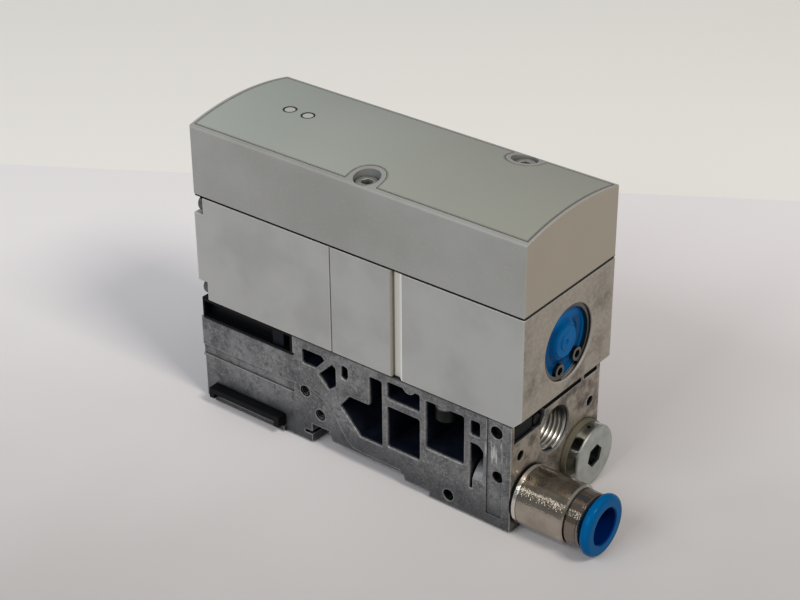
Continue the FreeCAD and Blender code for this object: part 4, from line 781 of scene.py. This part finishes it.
# %% Thread of the open port
PORT_PITCH = 1.337
PORT_RIDGE = 0.56 * PORT_PITCH
PORT_TURNS = 8.0
PORT_THREAD_DEPTH = 11.85
along_x = Matrix.Rotation(math.radians(90), 4, "Y")
port_start = Vector((base_end - PORT_THREAD_DEPTH, port_y, port_z)) * MM
port_thread = grow("port_thread", thread_tree, {
    "Bore Radius": mounts["open_port"]["dims"]["r_mm"] * MM, "Pitch": PORT_PITCH * MM,
    "Turns": PORT_TURNS, "Ridge": PORT_RIDGE * MM}, Matrix.Translation(port_start) @ along_x)
piece("open_port_thread", [port_thread])

# %% Threads of the tie holes, on both sides
TIE_PITCH = 0.7
TIE_RIDGE = 0.4 * TIE_PITCH
TIE_TURNS = 5.0
TIE_THREAD_START = 0.9
SUNK_IN_WALL = 0.1
tie_threads = []
for (hole_x, hole_z), radius in TIE_HOLES.items():
    for side in (-1, 1):
        inwards = Matrix.Rotation(math.radians(90 * side), 4, "X")
        start = Vector((hole_x, side * (base_side - TIE_THREAD_START), hole_z)) * MM
        thread = grow("hole_thread", thread_tree, {
            "Bore Radius": (radius + SUNK_IN_WALL) * MM, "Pitch": TIE_PITCH * MM,
            "Turns": TIE_TURNS, "Ridge": TIE_RIDGE * MM}, Matrix.Translation(start) @ inwards)
        thread.materials[0] = finishes["dark_steel"]
        tie_threads.append(thread)
piece("side_hole_threads", tie_threads)

# %% [markdown]
# ## Springs that give way
# Three coil springs inside are squeezed when the spool or an armature moves. A stiff solid can't
# follow that, so each spring gets a copy of its own coil that stands for the solid.

# %% Springs
MERGE_DISTANCE = 1e-7


def merged_copy(node):
    """A copy of a solid's mesh whose loose triangles share their corners."""
    copy = nodes[node].data.copy()
    joined = bmesh.new()
    joined.from_mesh(copy)
    bmesh.ops.remove_doubles(joined, verts=joined.verts, dist=MERGE_DISTANCE)
    joined.to_mesh(copy)
    joined.free()
    return copy


for joint in frame["record"]["behaviour"]["joints"]:
    for soft in joint.get("deforming_nodes", []):
        node = soft["node"]
        coil = piece(node + "_coil", [merged_copy(node)])
        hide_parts(node)
        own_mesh(coil)

# %% [markdown]
# ## Stage, light and camera
# The object stands on a sheet of white paper on a warm, pale table. A warm lamp stands to the
# right, above the port end, and throws the soft shadow to the left. A cooler window light comes
# from the front. A photograph of a room could light it too, but three soft lamps give the same
# shadow and are easier to steer. The camera has a long lens and looks down at about thirty degrees.

# %% Floor
TABLE_CORNERS = [(-6, -6), (6, -6), (6, 6), (-6, 6)]
PAPER_CORNERS = [(-0.60, -0.188), (-0.10, -1.0), (1.3, -0.2), (0.80, 0.673)]
# X and Y of the way that the camera looks across the floor
AWAY = (-0.62, 0.78)


def ground(name, corners, height, front, back):
    """A flat piece of the stage with painted light, growing paler towards the back, with the faintest
    clouds.
    """
    made = Finish(name, metallic=0.0, roughness=0.7)
    away = made.plus(made.times(made.axis("X"), AWAY[0]), made.times(made.axis("Y"), AWAY[1]))
    away = made.plus(away, made.level(made.noise(100, detail=2.0), 0.3, 0.7, -10, 10))
    made.base(made.mix(made.level(away, -130, 140), front, back))
    made.done()
    mesh = bpy.data.meshes.new(name)
    mesh.from_pydata([(x, y, height) for x, y in corners], [], [tuple(range(len(corners)))])
    mesh.materials.append(made.material)
    thing = bpy.data.objects.new(name, mesh)
    bpy.context.scene.collection.objects.link(thing)


# the paper lies just under the object, and the table just under the paper
floor_height = cad_box[0].z
ground("table", TABLE_CORNERS, floor_height - 0.4 * MM,
       front=seen(248, 244, 238), back=seen(252, 250, 246))
ground("paper", PAPER_CORNERS, floor_height - 0.1 * MM,
       front=seen(184, 182, 182), back=seen(246, 243, 246))
print("floor at", round(floor_height, 4))

# %% Lamps
LIT_POINT = Vector((0, 0, 0.04))


def lamp(name, azimuth, elevation, distance, width, strength, colour):
    """A square soft lamp, turned to the lit point; strength 1 lights a facing surface fully."""
    data = bpy.data.lights.new(name, "AREA")
    data.shape = "SQUARE"
    data.size = width
    data.energy = strength * (math.pi * distance) ** 2
    data.color = colour
    thing = bpy.data.objects.new(name, data)
    turn, tilt = math.radians(azimuth), math.radians(elevation)
    out = Vector((math.cos(turn) * math.cos(tilt), math.sin(turn) * math.cos(tilt), math.sin(tilt)))
    thing.location = LIT_POINT + out * distance
    thing.rotation_euler = out.to_track_quat("Z", "Y").to_euler()
    bpy.context.scene.collection.objects.link(thing)


lamp("warm_lamp", -12, 48, distance=1.3, width=0.35, strength=0.50, colour=(1.0, 0.93, 0.84))
lamp("window_light", -98, 36, distance=1.5, width=0.7, strength=0.42, colour=(0.95, 0.98, 1.0))
lamp("window_edge", -131, 37, distance=1.5, width=0.30, strength=0.06, colour=(1.0, 1.0, 1.0))
world = bpy.data.worlds.new("room")
world.use_nodes = True
world.node_tree.nodes["Background"].inputs["Color"].default_value = (0.98, 0.99, 1.0, 1)
world.node_tree.nodes["Background"].inputs["Strength"].default_value = 0.30
bpy.context.scene.world = world
bpy.context.scene.view_settings.view_transform = "Standard"
print("lamps lit")

# %% Camera
# place, direction and lens make the solids' edges fall where the photo has them
CAMERA_PLACE = Vector((0.28211, -0.35547, 0.30598))
LOOKING = Vector((-0.5354, 0.6758, -0.5066))
RIGHT_HAND = Vector((0.7863, 0.6179, -0.0067))

camera = bpy.data.objects.new("camera", bpy.data.cameras.new("camera"))
bpy.context.scene.collection.objects.link(camera)
camera.data.sensor_width = 36
camera.data.lens = 86.66
forward = LOOKING.normalized()
up = RIGHT_HAND.normalized().cross(forward).normalized()
right = forward.cross(up).normalized()
camera.matrix_world = (Matrix.Translation(CAMERA_PLACE)
                       @ Matrix((right, up, -forward)).transposed().to_4x4())
camera.data.clip_start = 0.01
camera.data.clip_end = 20
bpy.context.scene.camera = camera
print("camera looks", [round(v, 3) for v in forward])
